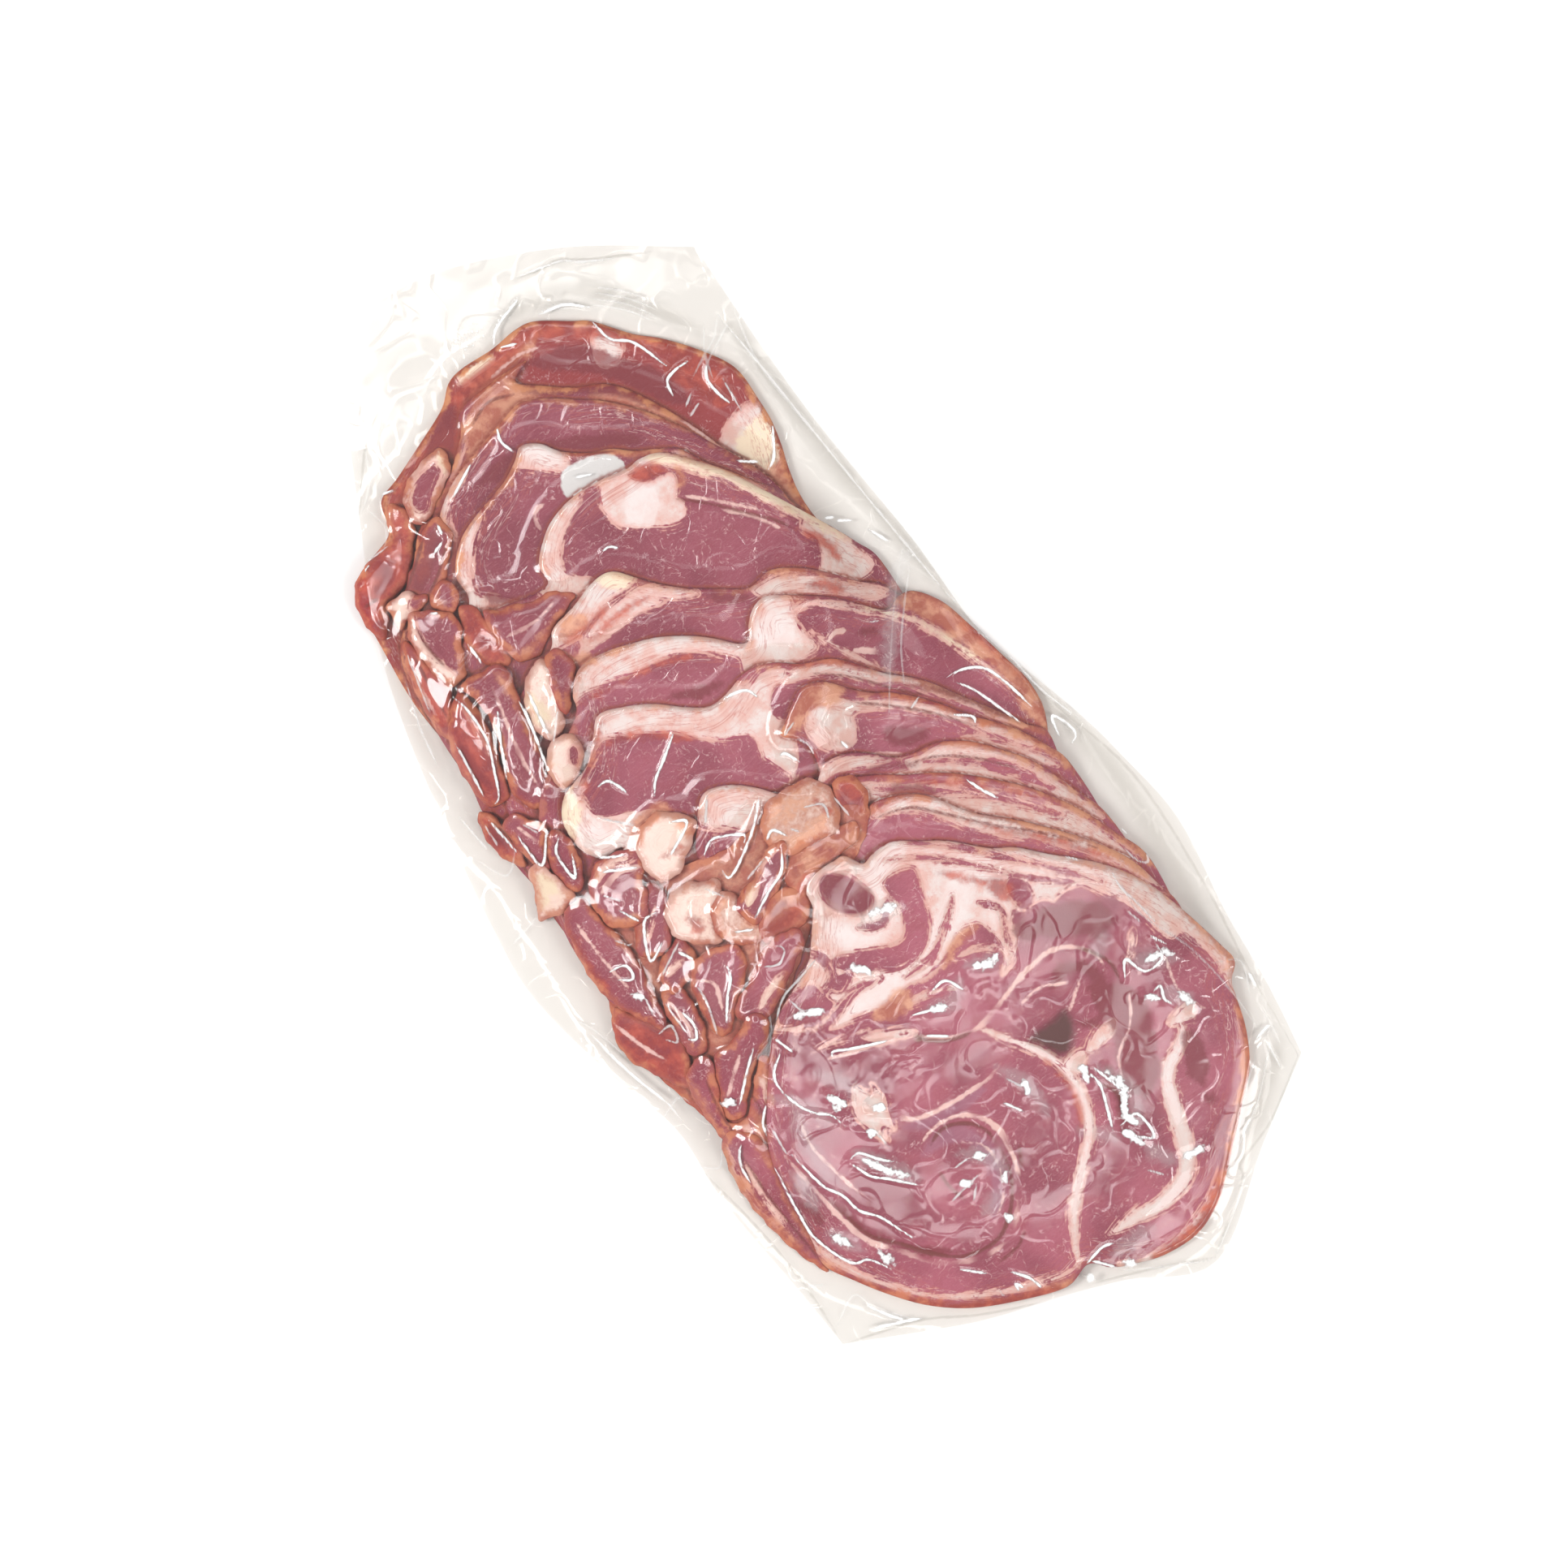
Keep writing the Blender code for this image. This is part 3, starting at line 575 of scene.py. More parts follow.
        ("fat", 0.5, [(-28, -53), (-21, -54.6), (-14, -56.6)]),
        ("seam", 0.35, [(40, -86), (36, -92), (30, -96), (27, -101)]),
        ("seam", 0.3, [(52, -84), (50, -92), (52.5, -100)]),
        ("dark", 1.4, [(26, -97), (24, -105), (20, -112)]),
        ("dark", 4.0, [(31, -60), (38, -63), (47, -70)]),
        ("dark", 5.0, [(34, -80), (37, -90), (33, -99), (29, -108)]),
        ("dark", 2.0, [(27, -58), (31, -62)]),
        ("white", 3.5, [(-22, -50), (-8, -50), (5, -50), (18, -46), (26, -40), (34, -46)]),
        ("white", 3.0, [(-8, -30), (-4, -38), (4, -37), (10, -27), (20, -26)]),
        ("white", 2.5, [(24, -54), (30, -48), (40, -52), (50, -60)]),
        ("white", 2.2, [(6, -71.5), (10.3, -77.4), (16.6, -88.3), (17.6, -95), (12.4, -108), (0.4, -119.2),
                        (-7.3, -132)]),
        ("white", 2.6, [(46.5, -97.5), (41.5, -103.5), (35, -108.5), (32, -117.5), (28, -126), (18, -130.8),
                        (3, -129.5)]),
    ],
    "slice_12": [
        ("fat", 2.6, [(16, -17), (22, -18.6), (27, -21), (31, -26), (34, -31), (39, -36.6), (45, -42.6),
                      (52, -50.5), (58, -60), (61, -71)]),
        ("red", 0.9, [(12, -16), (20, -15.8), (27, -18.5), (33, -25), (38, -32), (46, -40)]),
        ("warm", 0.8, [(40, -35), (47, -43), (54, -53), (60, -65), (62, -76)]),
        ("gap", 0.3, [(16, -17.8), (24, -20.6), (31, -28), (38, -36), (46, -44), (54, -54)]),
        ("red", 0.6, [(33, -31), (40, -39), (48, -48), (55, -58)]),
    ],
    "slice_11": [
        ("fat", [(12, -9), (18, -9), (23, -13), (30, -18), (36, -22.5), (42, -28), (50, -37), (56, -47),
                 (60, -60), (57, -64), (52, -51), (45, -41.5), (38, -34), (31, -26.5), (24, -20.5),
                 (18, -16), (12, -14)]),
        ("red", 1.0, [(9.5, -7), (16, -6.5), (22, -9), (30, -14.5), (38, -20.5), (46, -29)]),
        ("dark", 1.2, [(22, -14.5), (27, -17.5), (31, -21.5)]),
        ("warm", 0.8, [(44, -27), (54, -40), (60, -54), (63, -66)]),
        ("lean", 0.7, [(20, -12), (28, -18.6), (36, -25), (44, -33), (52, -43)]),
        ("red", 0.5, [(26, -14), (34, -20.6), (42, -27.6), (50, -36.6)]),
    ],
    "slice_10": [
        ("fat", [(8, -2), (14, -0.8), (20, -2.6), (24, -5.6), (29, -9.8), (22, -7.5), (15, -4.5), (9, -4.5)]),
        ("fat", [(29, -10.5), (33, -12), (38, -13), (43, -16.5), (48, -21), (52, -27), (57, -38), (60, -49),
                 (57, -47), (52, -37), (46, -29.5), (40, -24), (34, -19.5), (29, -15)]),
        ("dark", 1.0, [(19, -8), (25, -9.5), (31, -13.5)]),
        ("fat", 1.9, [(20, -11), (27, -14), (34, -19), (41, -25.6), (48, -34)]),
        ("lean", 1.6, [(44, -22), (48, -26.5), (52, -33)]),
        ("red", 0.9, [(25, -5), (31, -9.5), (38, -11.5), (44, -15.5), (50, -22.5)]),
        ("warm", 0.8, [(46, -18.5), (52, -25), (57, -35), (60, -46), (62, -54)]),
        ("lean", 0.6, [(33, -14), (40, -18.6), (47, -26), (54, -37)]),
        ("gap", 0.3, [(29, -12), (36, -14.6), (43, -20), (50, -28)]),
    ],
    "slice_09": [
        ("fat", [(-18, 6), (-13, 11), (-6, 9), (-1, 3), (2, -2), (-3, -3.5), (-7, -2.6), (-10, -2.4),
                 (-13, 0), (-17, 3.4)]),
        ("warm", [(8, 10), (12, 13), (17, 15.3), (20, 17), (25, 15), (28, 11), (24, 9.5), (18, 11),
                  (14, 9.5), (11, 7.5)]),
        ("fat", [(15, 8), (17.5, 11.6), (21, 12), (25, 10.5), (28.5, 7.5), (34, 3.6), (40, -1.4), (45, -7),
                 (49, -12.5), (53, -18), (57, -25), (55, -25.5), (50, -18.5), (45, -11.5), (41, -6.5),
                 (36, -1), (30, 3.2), (26, 4.3), (24.5, 1), (22, -1), (18.5, -0.5), (15.5, 3)]),
        ("lean", [(25.5, 3), (29.5, 2.4), (35, -1.8), (40, -7), (44, -12), (48, -18), (44, -16), (38, -12),
                  (31, -9), (26, -8), (23.5, -3)]),
        ("dark", [(30, -2), (35, -5), (38.5, -9), (34, -9.5), (29.5, -6.5)]),
        ("red", 1.0, [(33, 6), (38, 1.5), (43, -4), (48, -11), (53, -18)]),
        ("warm", 1.3, [(46, -8.5), (52, -16), (58, -26), (61, -36)]),
        ("gap", 0.3, [(27, 7.6), (34, 1.6), (41, -5.4), (48, -14.5)]),
        ("seam", 0.6, [(9.5, -1), (15, -1.5), (19, -2.3), (24, -5), (30, -9.6)]),
        ("fat", 1.2, [(43, -14), (48, -19.4), (53, -26), (58, -33)]),
        ("red", 1.0, [(9, 10), (12, 5), (12.5, 0)]),
    ],
    "slice_08": [
        ("fat", [(-48, 8), (-46, 24), (-40, 31), (-36, 31.5), (-36, 26.5), (-35.5, 21), (-30, 17.5),
                 (-24, 14.5), (-24, 10), (-34, 8)]),
        ("gold", [(-46, 20), (-44, 26), (-40, 30.5), (-37, 30), (-38, 25), (-42, 20)]),
        ("white", 4.0, [(-41, 20), (-38, 13), (-30, 12)]),
        ("fat", [(-37, 27), (-36, 32), (-26, 38), (-18, 42), (-8, 34), (0, 27), (7, 27), (10, 24.8),
                 (15, 25.2), (20, 22.5), (16, 18), (14.5, 15), (12, 8), (9, 3), (5, 0), (2, 5), (4, 14),
                 (-2, 17.5), (-6, 21), (-10, 25.5), (-14, 28), (-19, 31), (-24, 34), (-27, 33),
                 (-32, 30)]),
        ("lean", [(5, 4), (5.3, 1), (1, 0), (-4, 4), (-9, 8.3), (-13.5, 9.5), (-21, 12.5), (-19.5, 16.3),
                  (-14.5, 20.4), (-10, 19.3), (-5.5, 17.2), (-2, 14.2), (1.8, 10)]),
        ("lean", [(11.5, 15.5), (13.5, 19.5), (16.5, 20.5), (18.5, 18), (16, 14), (13, 12.5)]),
        ("red", 0.7, [(-37, 26), (-31.5, 30.5), (-26, 34.6), (-22, 38)]),
        ("warm", [(-33, 12), (-29, 15), (-23, 15.3), (-21, 12.5), (-26, 10.6), (-31, 10.6)]),
        ("red", 0.9, [(-24, 33), (-18, 30.5), (-12, 26), (-7, 21.5)]),
        ("fat", 1.5, [(16, 21), (22, 19.6), (28, 16.6), (33, 11), (37, 6.5)]),
        ("red", 0.8, [(18, 25), (24, 20.6), (31, 16.4), (36, 10.5)]),
        ("lean", 1.7, [(15, 15), (20, 16.6), (25, 14.6), (30, 9.6), (35, 5)]),
        ("dark", 0.6, [(38, 5), (42, 1.6), (47, -4), (51, -10.4), (55, -17)]),
        ("fat", 1.3, [(33, 13), (38, 7.6), (43, 1.4), (48, -5.6), (53, -14), (58, -22)]),
        ("warm", 1.4, [(42, 4), (50, -7), (56, -17.5), (61, -27)]),
        ("fat", 0.8, [(38, 7.4), (43, 1.6), (48, -5.6), (53, -14)]),
        ("gap", 0.3, [(24, 18), (31, 12), (37, 4.6), (43, -2)]),
        ("seam", 0.4, [(12, 24.8), (17, 23.4), (21, 20.6)]),
        ("dark", 1.2, [(-12, 7), (-6, 4.5), (0, 0.5)]),
    ],
    "slice_07": [
        ("fat", [(-29, 43), (-24, 49), (-18, 53), (-8, 51), (2, 47), (8, 42), (13, 36), (17, 32.5), (14, 27),
                 (11, 27.5), (12, 31), (9.3, 34), (5.5, 37.5), (0, 40.5), (-10, 42.5), (-20, 45),
                 (-25, 44.6)]),
        ("fat", [(14.5, 27), (15.5, 32), (18, 37), (23, 40.5), (27, 40), (30, 35.5), (28.5, 31), (28.3, 26),
                 (28.5, 22.3), (24, 22), (19, 23), (15.5, 24.5)]),
        ("white", 5.0, [(20, 34), (25, 27)]),
        ("fat", 0.9, [(26, 33), (33, 31.6), (38, 27.6), (43, 22.6), (48, 18), (52, 12.5), (55, 5.5),
                      (58, -3), (60, -12)]),
        ("fat", 1.6, [(30, 26), (34, 18.5), (37, 13), (40, 9.5), (45, 4.5), (50, 0)]),
        ("lean", [(30, 29.5), (33.5, 28.8), (38, 24.6), (42, 19.6), (46, 16.4), (50, 10.6), (53, 4.6),
                  (55, -0.5), (57, -5), (58.5, -12), (57, -18), (55, -12), (52, -6), (47, 0), (42, 4.6),
                  (38, 9.6), (35.6, 14.5), (32, 22), (29.5, 25.5)]),
        ("seam", 0.6, [(35, 17), (38, 14.5), (42.5, 10.5)]),
        ("dark", 0.9, [(38, 19.5), (40, 18.6), (42, 17.3)]),
        ("fat", 0.8, [(31, 22), (34, 22.6), (36.5, 21.3)]),
        ("gold", 0.8, [(42, 24), (48, 18.6), (52, 13), (55, 6), (58, -3)]),
        ("warm", [(46, 27), (56, 24), (61, 14), (64, 2), (67, -12), (66, -26), (61, -26), (59.5, -16),
                  (60, -8), (58.3, -1.5), (56.3, 5), (53.4, 12), (51, 17)]),
        ("red", 1.2, [(59.5, 9), (62.3, 0), (64, -9), (64.5, -16)]),
        ("warm", 0.8, [(-25, 46.5), (-19, 50.3), (-12, 49.8), (-5, 47.8)]),
        ("red", 0.6, [(-24, 44.2), (-15, 43), (-6, 41.3), (3, 38)]),
        ("dark", 1.2, [(-6, 33), (0, 30), (6, 28.5)]),
    ],
    "slice_06": [
        ("fat", [(-25, 58), (-20, 64), (-12, 66), (0, 67.5), (4, 61), (1.5, 59.6), (-3, 59.4), (-8, 59),
                 (-13, 57.4), (-18, 57)]),
        ("gold", [(-4, 66), (1, 67), (4.5, 61), (1.5, 59), (-2, 61)]),
        ("warm", [(-19, 60), (-15, 62), (-11, 60.5), (-12, 57.5), (-17, 57.5)]),
        ("red", 0.7, [(-19, 58), (-12, 57.6), (-6, 58.6)]),
        ("fat", 1.5, [(-15, 55.6), (-6, 56.8), (2, 56.4), (6, 54.6), (10, 51.4), (13, 49)]),
        ("fat", 1.5, [(-17, 53.6), (-9, 54.4), (0, 54.6), (6, 52)]),
        ("red", 0.5, [(-13, 54.7), (-4, 55.7), (3, 55)]),
        ("warm", 1.1, [(-22, 57), (-19, 53.5), (-15, 51)]),
        ("dark", 1.3, [(15, 47), (19, 43.5), (23, 41)]),
        ("fat", [(23.5, 42.4), (28, 42.2), (32, 40.8), (36, 38.2), (40, 34.6), (45, 29.4), (50, 23.5),
                 (46, 23.5), (41, 28.5), (35.5, 32.5), (30, 36), (25, 38.5)]),
        ("red", 1.2, [(35, 35.5), (38.5, 33), (42, 29.5)]),
        ("warm", [(29.5, 44.5), (33.5, 43), (37.5, 39.5), (36, 37.5), (31, 40.6)]),
        ("dark", 1.0, [(-6, 47.4), (2, 45), (8, 41.5)]),
    ],
    "slice_05": [
        ("fat", [(-17, 70), (-15, 76), (-11, 81), (-6, 84.5), (3, 86.5), (4, 82.4), (0, 80.6), (-5, 77.2),
                 (-7.6, 74), (-8.3, 71.5), (-7, 69), (-4.6, 66), (-7, 64.4), (-11, 66), (-15, 68)]),
        ("fat", [(10.3, 83.3), (7.3, 80), (6.8, 76), (8, 72), (10.5, 69.6), (14.5, 67), (18.5, 65),
                 (22.3, 65.2), (23.4, 68), (22.7, 70.2), (24.5, 72.3), (25.3, 75), (22.5, 76.6), (20, 77),
                 (17.3, 79), (16, 81.6), (13, 82.8)]),
        ("red", [(16.8, 80.4), (19, 81.6), (22, 80.4), (24, 77), (22, 76.2), (18.6, 77.6)]),
        ("warm", 1.0, [(24.5, 71.5), (26.3, 73.5), (26.8, 76)]),
        ("white", 5.0, [(12, 76), (18, 71)]),
        ("gap", 0.35, [(22.5, 69.8), (28, 64.4), (33, 58.4), (38, 52.4), (41, 47.5)]),
        ("fat", 1.7, [(3, 84.6), (10, 84.3), (17, 82.6), (23, 81), (27, 77.6), (31, 73), (35, 68), (38, 62.3),
                      (41, 56), (45, 49.6), (48, 42.6), (50.6, 35)]),
        ("gold", 2.0, [(22, 82), (27, 78), (31, 73.5), (35, 68.4), (38.5, 62.3), (42, 55.5), (46, 48),
                       (50, 38)]),
        ("fat", [(39.5, 36.5), (42.5, 40), (43.6, 43.5), (42, 47), (44, 48.5), (47, 45.5), (50, 38),
                 (51.5, 31), (48, 29), (43, 30), (41, 33)]),
        ("warm", 0.7, [(26.5, 80.6), (32, 74.6), (36.6, 68), (40.6, 60)]),
        ("seam", 0.4, [(24, 69.5), (30, 63.6), (36, 57)]),
        ("dark", 1.4, [(-6, 66), (0, 63.5), (6, 60)]),
        ("seam", 0.45, [(29, 62), (34, 56.5), (38, 50)]),
        ("red", 0.9, [(42, 46), (44.6, 41), (45, 36)]),
    ],
    "slice_04": [
        ("fat", [(-34, 76), (-32.5, 83), (-29, 88.6), (-24, 92.4), (-16.5, 96), (-17, 93.4), (-20.3, 90.6),
                 (-24.4, 86.4), (-27.3, 82.6), (-27.6, 79.6), (-26, 77), (-22.8, 73.2), (-20.6, 70),
                 (-25, 71), (-30, 73)]),
        ("fat", [(-4.5, 99.4), (0, 103), (5, 101), (8, 95.4), (7.6, 91.6), (5.6, 90.2), (2.7, 91.6),
                 (-0.6, 95)]),
        ("cartilage", [(2, 85.3), (2.2, 88), (4.4, 90.8), (8, 90.8), (12, 90), (15.5, 88), (17.3, 85),
                       (16.3, 82.6), (10, 83.7), (5, 84.2)]),
        ("warm", 1.3, [(7.5, 93.6), (12, 90.8), (18, 87.4), (22, 83.6), (27, 80)]),
        ("gap", 0.3, [(7, 91.4), (12, 90.4), (17, 87.6)]),
        ("seam", 0.5, [(-7.6, 82.6), (-7.2, 85.6), (-5.4, 87.2), (-3.4, 87)]),
        ("warm", 1.2, [(-34, 78), (-31.4, 85.5), (-26.5, 90.4), (-20, 94)]),
        ("dark", 1.2, [(-27, 78), (-24, 74), (-21.5, 71.5)]),
        ("white", 2.5, [(1, 101), (5, 93)]),
        ("dark", 1.6, [(20, 80), (26, 75), (31, 69)]),
        ("warm", 0.9, [(30, 79), (34, 72.6), (38, 65.4), (42, 58.6)]),
        ("fat", 0.9, [(28, 79.6), (32, 73), (36.6, 65.6), (40.6, 59)]),
    ],
    "slice_03": [
        ("fat", 1.3, [(-25, 92.5), (-25.2, 97), (-22.6, 100.6), (-18, 103.4), (-13, 105.3)]),
        ("warm", 0.8, [(-16, 105), (-8, 107), (0, 108.8), (7, 109.6), (13, 106.4)]),
        ("seam", 0.5, [(26, 79.5), (29, 77), (33, 73.5)]),
        ("dark", 2.0, [(-14, 100), (-2, 99.6), (6, 96.6), (16, 91.4), (24, 86)]),
        ("warm", 0.9, [(18, 102.6), (25, 95.4), (30.4, 88.6), (34.6, 80.6)]),
        ("cartilage", 1.0, [(28, 79.4), (31, 76.6)]),
        ("warm", 1.4, [(-34, 92), (-29, 96), (-25.6, 99.4)]),
    ],
    "slice_02": [
        ("warm", [(-20, 104), (-12, 107.4), (-8, 113), (0, 119), (14, 119), (9, 114.6), (13, 110.6),
                  (8, 108), (0, 106), (-8, 104.4), (-16, 102)]),
        ("warm", 2.0, [(20, 102), (27, 95), (31, 88), (34.6, 81), (37.6, 74), (40.6, 66)]),
        ("dark", 2.2, [(9, 112), (15, 108), (21, 104), (28, 98), (34, 88)]),
        ("fat", 0.7, [(22, 101), (27, 95.6), (31.5, 88)]),
        ("fat", 0.7, [(-18, 105), (-12, 109), (-7, 114)]),
        ("seam", 0.4, [(32, 90), (35.6, 81), (38.6, 72)]),
        ("gap", 0.35, [(-6, 112.6), (0, 114.6), (6, 112.6)]),
        ("red", 1.6, [(-36, 94), (-30, 99), (-24, 103)]),
    ],
    "slice_01": [
        ("warm", 1.6, [(-37, 106), (-33, 111.6), (-27, 114), (-20, 116.6), (-10, 120.6), (-5, 124.4)]),
        ("fat", 1.0, [(-25, 113.6), (-21, 115.4), (-16, 117.2)]),
        ("dark", [(-18, 108), (-12, 112), (-7, 118.6), (-10, 119.6), (-16, 116.4), (-20, 112)]),
        ("fat", [(-3, 121.6), (-2, 126), (4, 126.6), (9, 126), (7, 122.4), (2, 121.6)]),
        ("gold", [(-3, 121.6), (-2, 126), (9, 126), (7, 122)]),
        ("warm", 1.4, [(-4, 118), (4, 119.4), (14, 119.6), (20, 121.6)]),
        ("fat", [(26, 106), (27, 110.6), (30, 114.6), (33, 113), (34.4, 109), (33, 105.6), (30, 104)]),
        ("fat", 1.4, [(38, 105.4), (40, 103.6), (42, 100.6)]),
        ("gold", 1.6, [(38, 106), (42, 101)]),
        ("red", 2.6, [(8, 123), (16, 123), (24, 119.6), (31, 114), (38, 105.4), (44, 99), (49.6, 91.4),
                      (51.4, 82)]),
        ("red", [(-33, 108), (-28, 112), (-18, 115), (-9, 119), (-4, 122), (6, 122), (16, 121.6), (8, 118.6),
                 (-4, 117), (-8, 112), (-18, 107), (-28, 104)]),
        ("warm", 1.0, [(20, 122.6), (28, 117.6), (34, 111), (40, 103.6), (48, 94)]),
        ("dark", 3.0, [(14, 116), (23, 111), (29, 104), (34, 96), (38.4, 87)]),
        ("red", 4.0, [(39, 98), (44, 90), (46.6, 81)]),
        ("fat", [(37, 73.6), (41, 76.6), (46, 78.6), (50, 78), (54, 75), (53, 69), (49.6, 64.4), (46, 62),
                 (43.6, 61.6), (41.6, 65), (39, 69)]),
        ("warm", [(43, 62.6), (47.6, 63.6), (51, 60), (47.6, 54), (44.6, 52), (41.6, 57)]),
        ("gold", [(39, 69), (44, 74), (52, 74), (53, 67), (48, 63), (43, 63)]),
        ("warm", 0.9, [(52.6, 90), (52.8, 80), (52, 72), (50, 64)]),
        ("seam", 0.35, [(4, 119), (12, 119.6), (18, 118)]),
    ],
    "lobe_red_end": [
        ("gap", 0.5, [(-52, 92.6), (-48, 92.4)]),
        ("fat", 1.2, [(-55, 90), (-53, 96), (-49, 100)]),
        ("dark", 1.0, [(-41, 98), (-44, 95), (-48, 93)]),
        ("seam", 0.4, [(-50, 97), (-44, 99), (-38, 99)]),
    ],
    "lobe_lean_eye": [
        ("fat", [(-33, 102), (-31, 110), (-22, 115), (-14, 115), (-13, 109), (-20, 103), (-27, 98)]),
        ("lean", [(-28.6, 104), (-27.5, 107.6), (-23.5, 109.8), (-19, 110.4), (-19, 108), (-23, 105.4),
                  (-26.6, 102.6)]),
        ("gold", 1.0, [(-16, 112.6), (-18, 106.4)]),
    ],
    "lobe_folds_far": [
        ("dark", 3.2, [(-42, 88), (-35, 93), (-28, 97)]),
        ("gap", 0.4, [(-43, 89), (-37, 93), (-31, 97.6)]),
        ("red", 0.9, [(-42, 87.6), (-36, 91), (-29, 96.6)]),
        ("gap", 0.3, [(-38, 86), (-33, 88.6), (-27, 93.4)]),
    ],
    "lobe_cream_far": [("lean", [(-43, 86), (-40, 88), (-38, 86.6), (-41, 84.4)])],
    "lobe_dark_oval": [("seam", 0.4, [(-37.6, 84), (-34, 80.6)])],
    "lobe_eye": [
        ("fat", [(-49, 76), (-47, 85), (-43, 86), (-44.6, 80), (-45, 74), (-43, 66), (-46, 62), (-49, 68)]),
        ("gap", 0.35, [(-44.6, 82), (-45, 76), (-44.4, 70)]),
    ],
    "lobe_membrane": [("seam", 0.4, [(-29, 67), (-22, 66), (-15, 67)]),
                      ("warm", 1.0, [(-29, 61), (-20, 62)])],
    "lobe_side_strip": [("gap", 0.35, [(-49, 77), (-50, 68), (-51, 60)]),
                        ("seam", 0.4, [(-52, 72), (-53, 62)])],
    "lobe_long_outer": [
        ("red", 2.6, [(-54, 56), (-55.4, 46), (-53, 38)]),
        ("fat", 0.9, [(-46.6, 60), (-46.6, 54), (-48, 47)]),
        ("warm", 1.2, [(-55, 55), (-56.4, 46), (-55, 38)]),
        ("dark", 1.0, [(-52, 54), (-53, 46), (-52, 40)]),
    ],
    "lobe_long_inner": [
        ("seam", 0.4, [(-38, 60), (-40, 52), (-42, 44), (-43, 35)]),
        ("warm", 0.9, [(-36, 62), (-35, 55), (-36.6, 46)]),
    ],
    "lobe_cream_upper": [("gold", [(-36, 46), (-35, 52), (-32, 54), (-31, 46)])],
    "lobe_cream_lower": [("lean", 0.9, [(-33, 33), (-31, 37)])],
    "lobe_side_low": [("dark", 1.2, [(-58, 34), (-57.6, 27)])],
    "lobe_cream_side": [
        ("gold", 2.4, [(-60, 11), (-57, 16), (-54, 12)]), ("warm", 1.0, [(-61, 9), (-56, 7.6), (-52, 9)]),
        ("warm", 0.8, [(-60, 13), (-57, 18), (-54, 19)]),
    ],
    "lobe_diamond": [("seam", 0.35, [(-53, 30), (-51, 24)])],
    "lobe_block": [
        ("fat", 0.9, [(-47, 8), (-41, 10), (-35, 8)]),
        ("seam", 0.6, [(-46, 5.5), (-40, 7), (-34, 5)]),
        ("warm", 0.9, [(-49, 1), (-46, -3), (-42, -4)]),
    ],
    "lobe_red_long": [
        ("seam", 0.6, [(-49.4, -3), (-49, -9), (-49.6, -14)]),
        ("red", 1.6, [(-58, 3), (-59.4, -6), (-58.6, -14)]),
        ("seam", 0.4, [(-55, 4), (-55, -6), (-54, -16)]),
    ],
    "lobe_cream_middle": [("warm", 1.6, [(-33, 10), (-29, 13), (-24, 13)]),
                          ("warm", 1.2, [(-21, 9), (-20, 4)]), ("red", 0.6, [(-30, 4), (-24, 3)])],
    "lobe_red_edge": [("seam", 0.5, [(-62, -21), (-60, -28), (-57, -35)]),
                      ("dark", 1.0, [(-56, -22), (-54, -30)])],
    "lobe_pale_lean": [("fat", 0.5, [(-44, -10), (-40, -6), (-37, -4)]),
                       ("warm", 1.0, [(-45, -8), (-40, -3)])],
    "lobe_fat_round": [
        ("warm", 1.3, [(-36, -16), (-32, -19)]),
        ("red", [(-33.6, -11), (-31.6, -10.6), (-30.6, -13), (-31.4, -15.6), (-33.4, -15)]),
        ("warm", 0.9, [(-24, -6), (-23, -11), (-26, -16)]),
    ],
    "lobe_small_lean": [("fat", 0.7, [(-45, -19), (-40, -18)])],
    "lobe_strip_left": [("seam", 0.5, [(-48.6, -23), (-47.6, -30), (-49, -35)])],
    "lobe_diamond_near": [("seam", 0.4, [(-41, -23), (-37, -27), (-39, -33)])],
    "lobe_peach": [("warm", 1.6, [(3, -13), (6.6, -10)]), ("red", 0.8, [(7, -6), (8.6, -11)])],
    "lobe_lean_roll": [
        ("fat", 1.4, [(-20, -17), (-15, -12.4), (-10, -9.6), (-6, -9)]),
        ("gold", 0.8, [(-21, -17), (-16, -12.4)]),
    ],
    "lobe_tan": [("fat", 0.8, [(-8, -15), (-2, -16.4), (5, -16.6)]), ("red", 0.8, [(-10, -22), (-4, -19)])],
    "lobe_brown": [("red", 1.8, [(-20, -24), (-15, -25), (-10, -24)]),
                   ("dark", 0.7, [(-17, -22), (-12, -21)])],
    "lobe_roll_near": [("fat", 0.8, [(-33, -38.6), (-27, -35.6), (-22, -34.6)])],
    "lobe_lean_corner": [("fat", 0.8, [(-44, -49.6), (-39, -47)]), ("seam", 0.4, [(-50, -50), (-42, -44)])],
    "lobe_tan_side": [
        ("fat", 1.3, [(-43, -49), (-41, -53), (-43.6, -57)]),
        ("warm", 1.0, [(-55, -43), (-57, -52), (-57, -60), (-56, -66)]),
        ("warm", 1.3, [(-48.6, -52), (-47.4, -58), (-49.6, -64), (-52, -70)]),
        ("fat", 0.7, [(-50, -49), (-50.4, -56), (-52, -63)]),
        ("gap", 0.3, [(-52, -44), (-53.8, -53), (-54, -62)]),
        ("red", 0.8, [(-51.6, -46), (-52.6, -56), (-53, -65)]),
        ("warm", 1.1, [(-39.4, -48), (-40, -54), (-43, -60), (-46, -65)]),
        ("gap", 0.3, [(-45.6, -50), (-45.4, -57), (-47.6, -64)]),
    ],
    "lobe_edge_near": [
        ("fat", 1.6, [(-58, -58), (-60.6, -66), (-61.4, -76), (-60, -86)]),
        ("gold", 1.2, [(-58, -58), (-60.8, -66), (-61.6, -76)]),
        ("warm", 0.7, [(-57.8, -65), (-59.3, -74), (-58.8, -82), (-57, -92)]),
        ("fat", 0.7, [(-56.4, -66), (-57.6, -76), (-57.2, -84)]),
        ("gap", 0.3, [(-55.6, -64), (-56.4, -74), (-56, -86), (-55.6, -94)]),
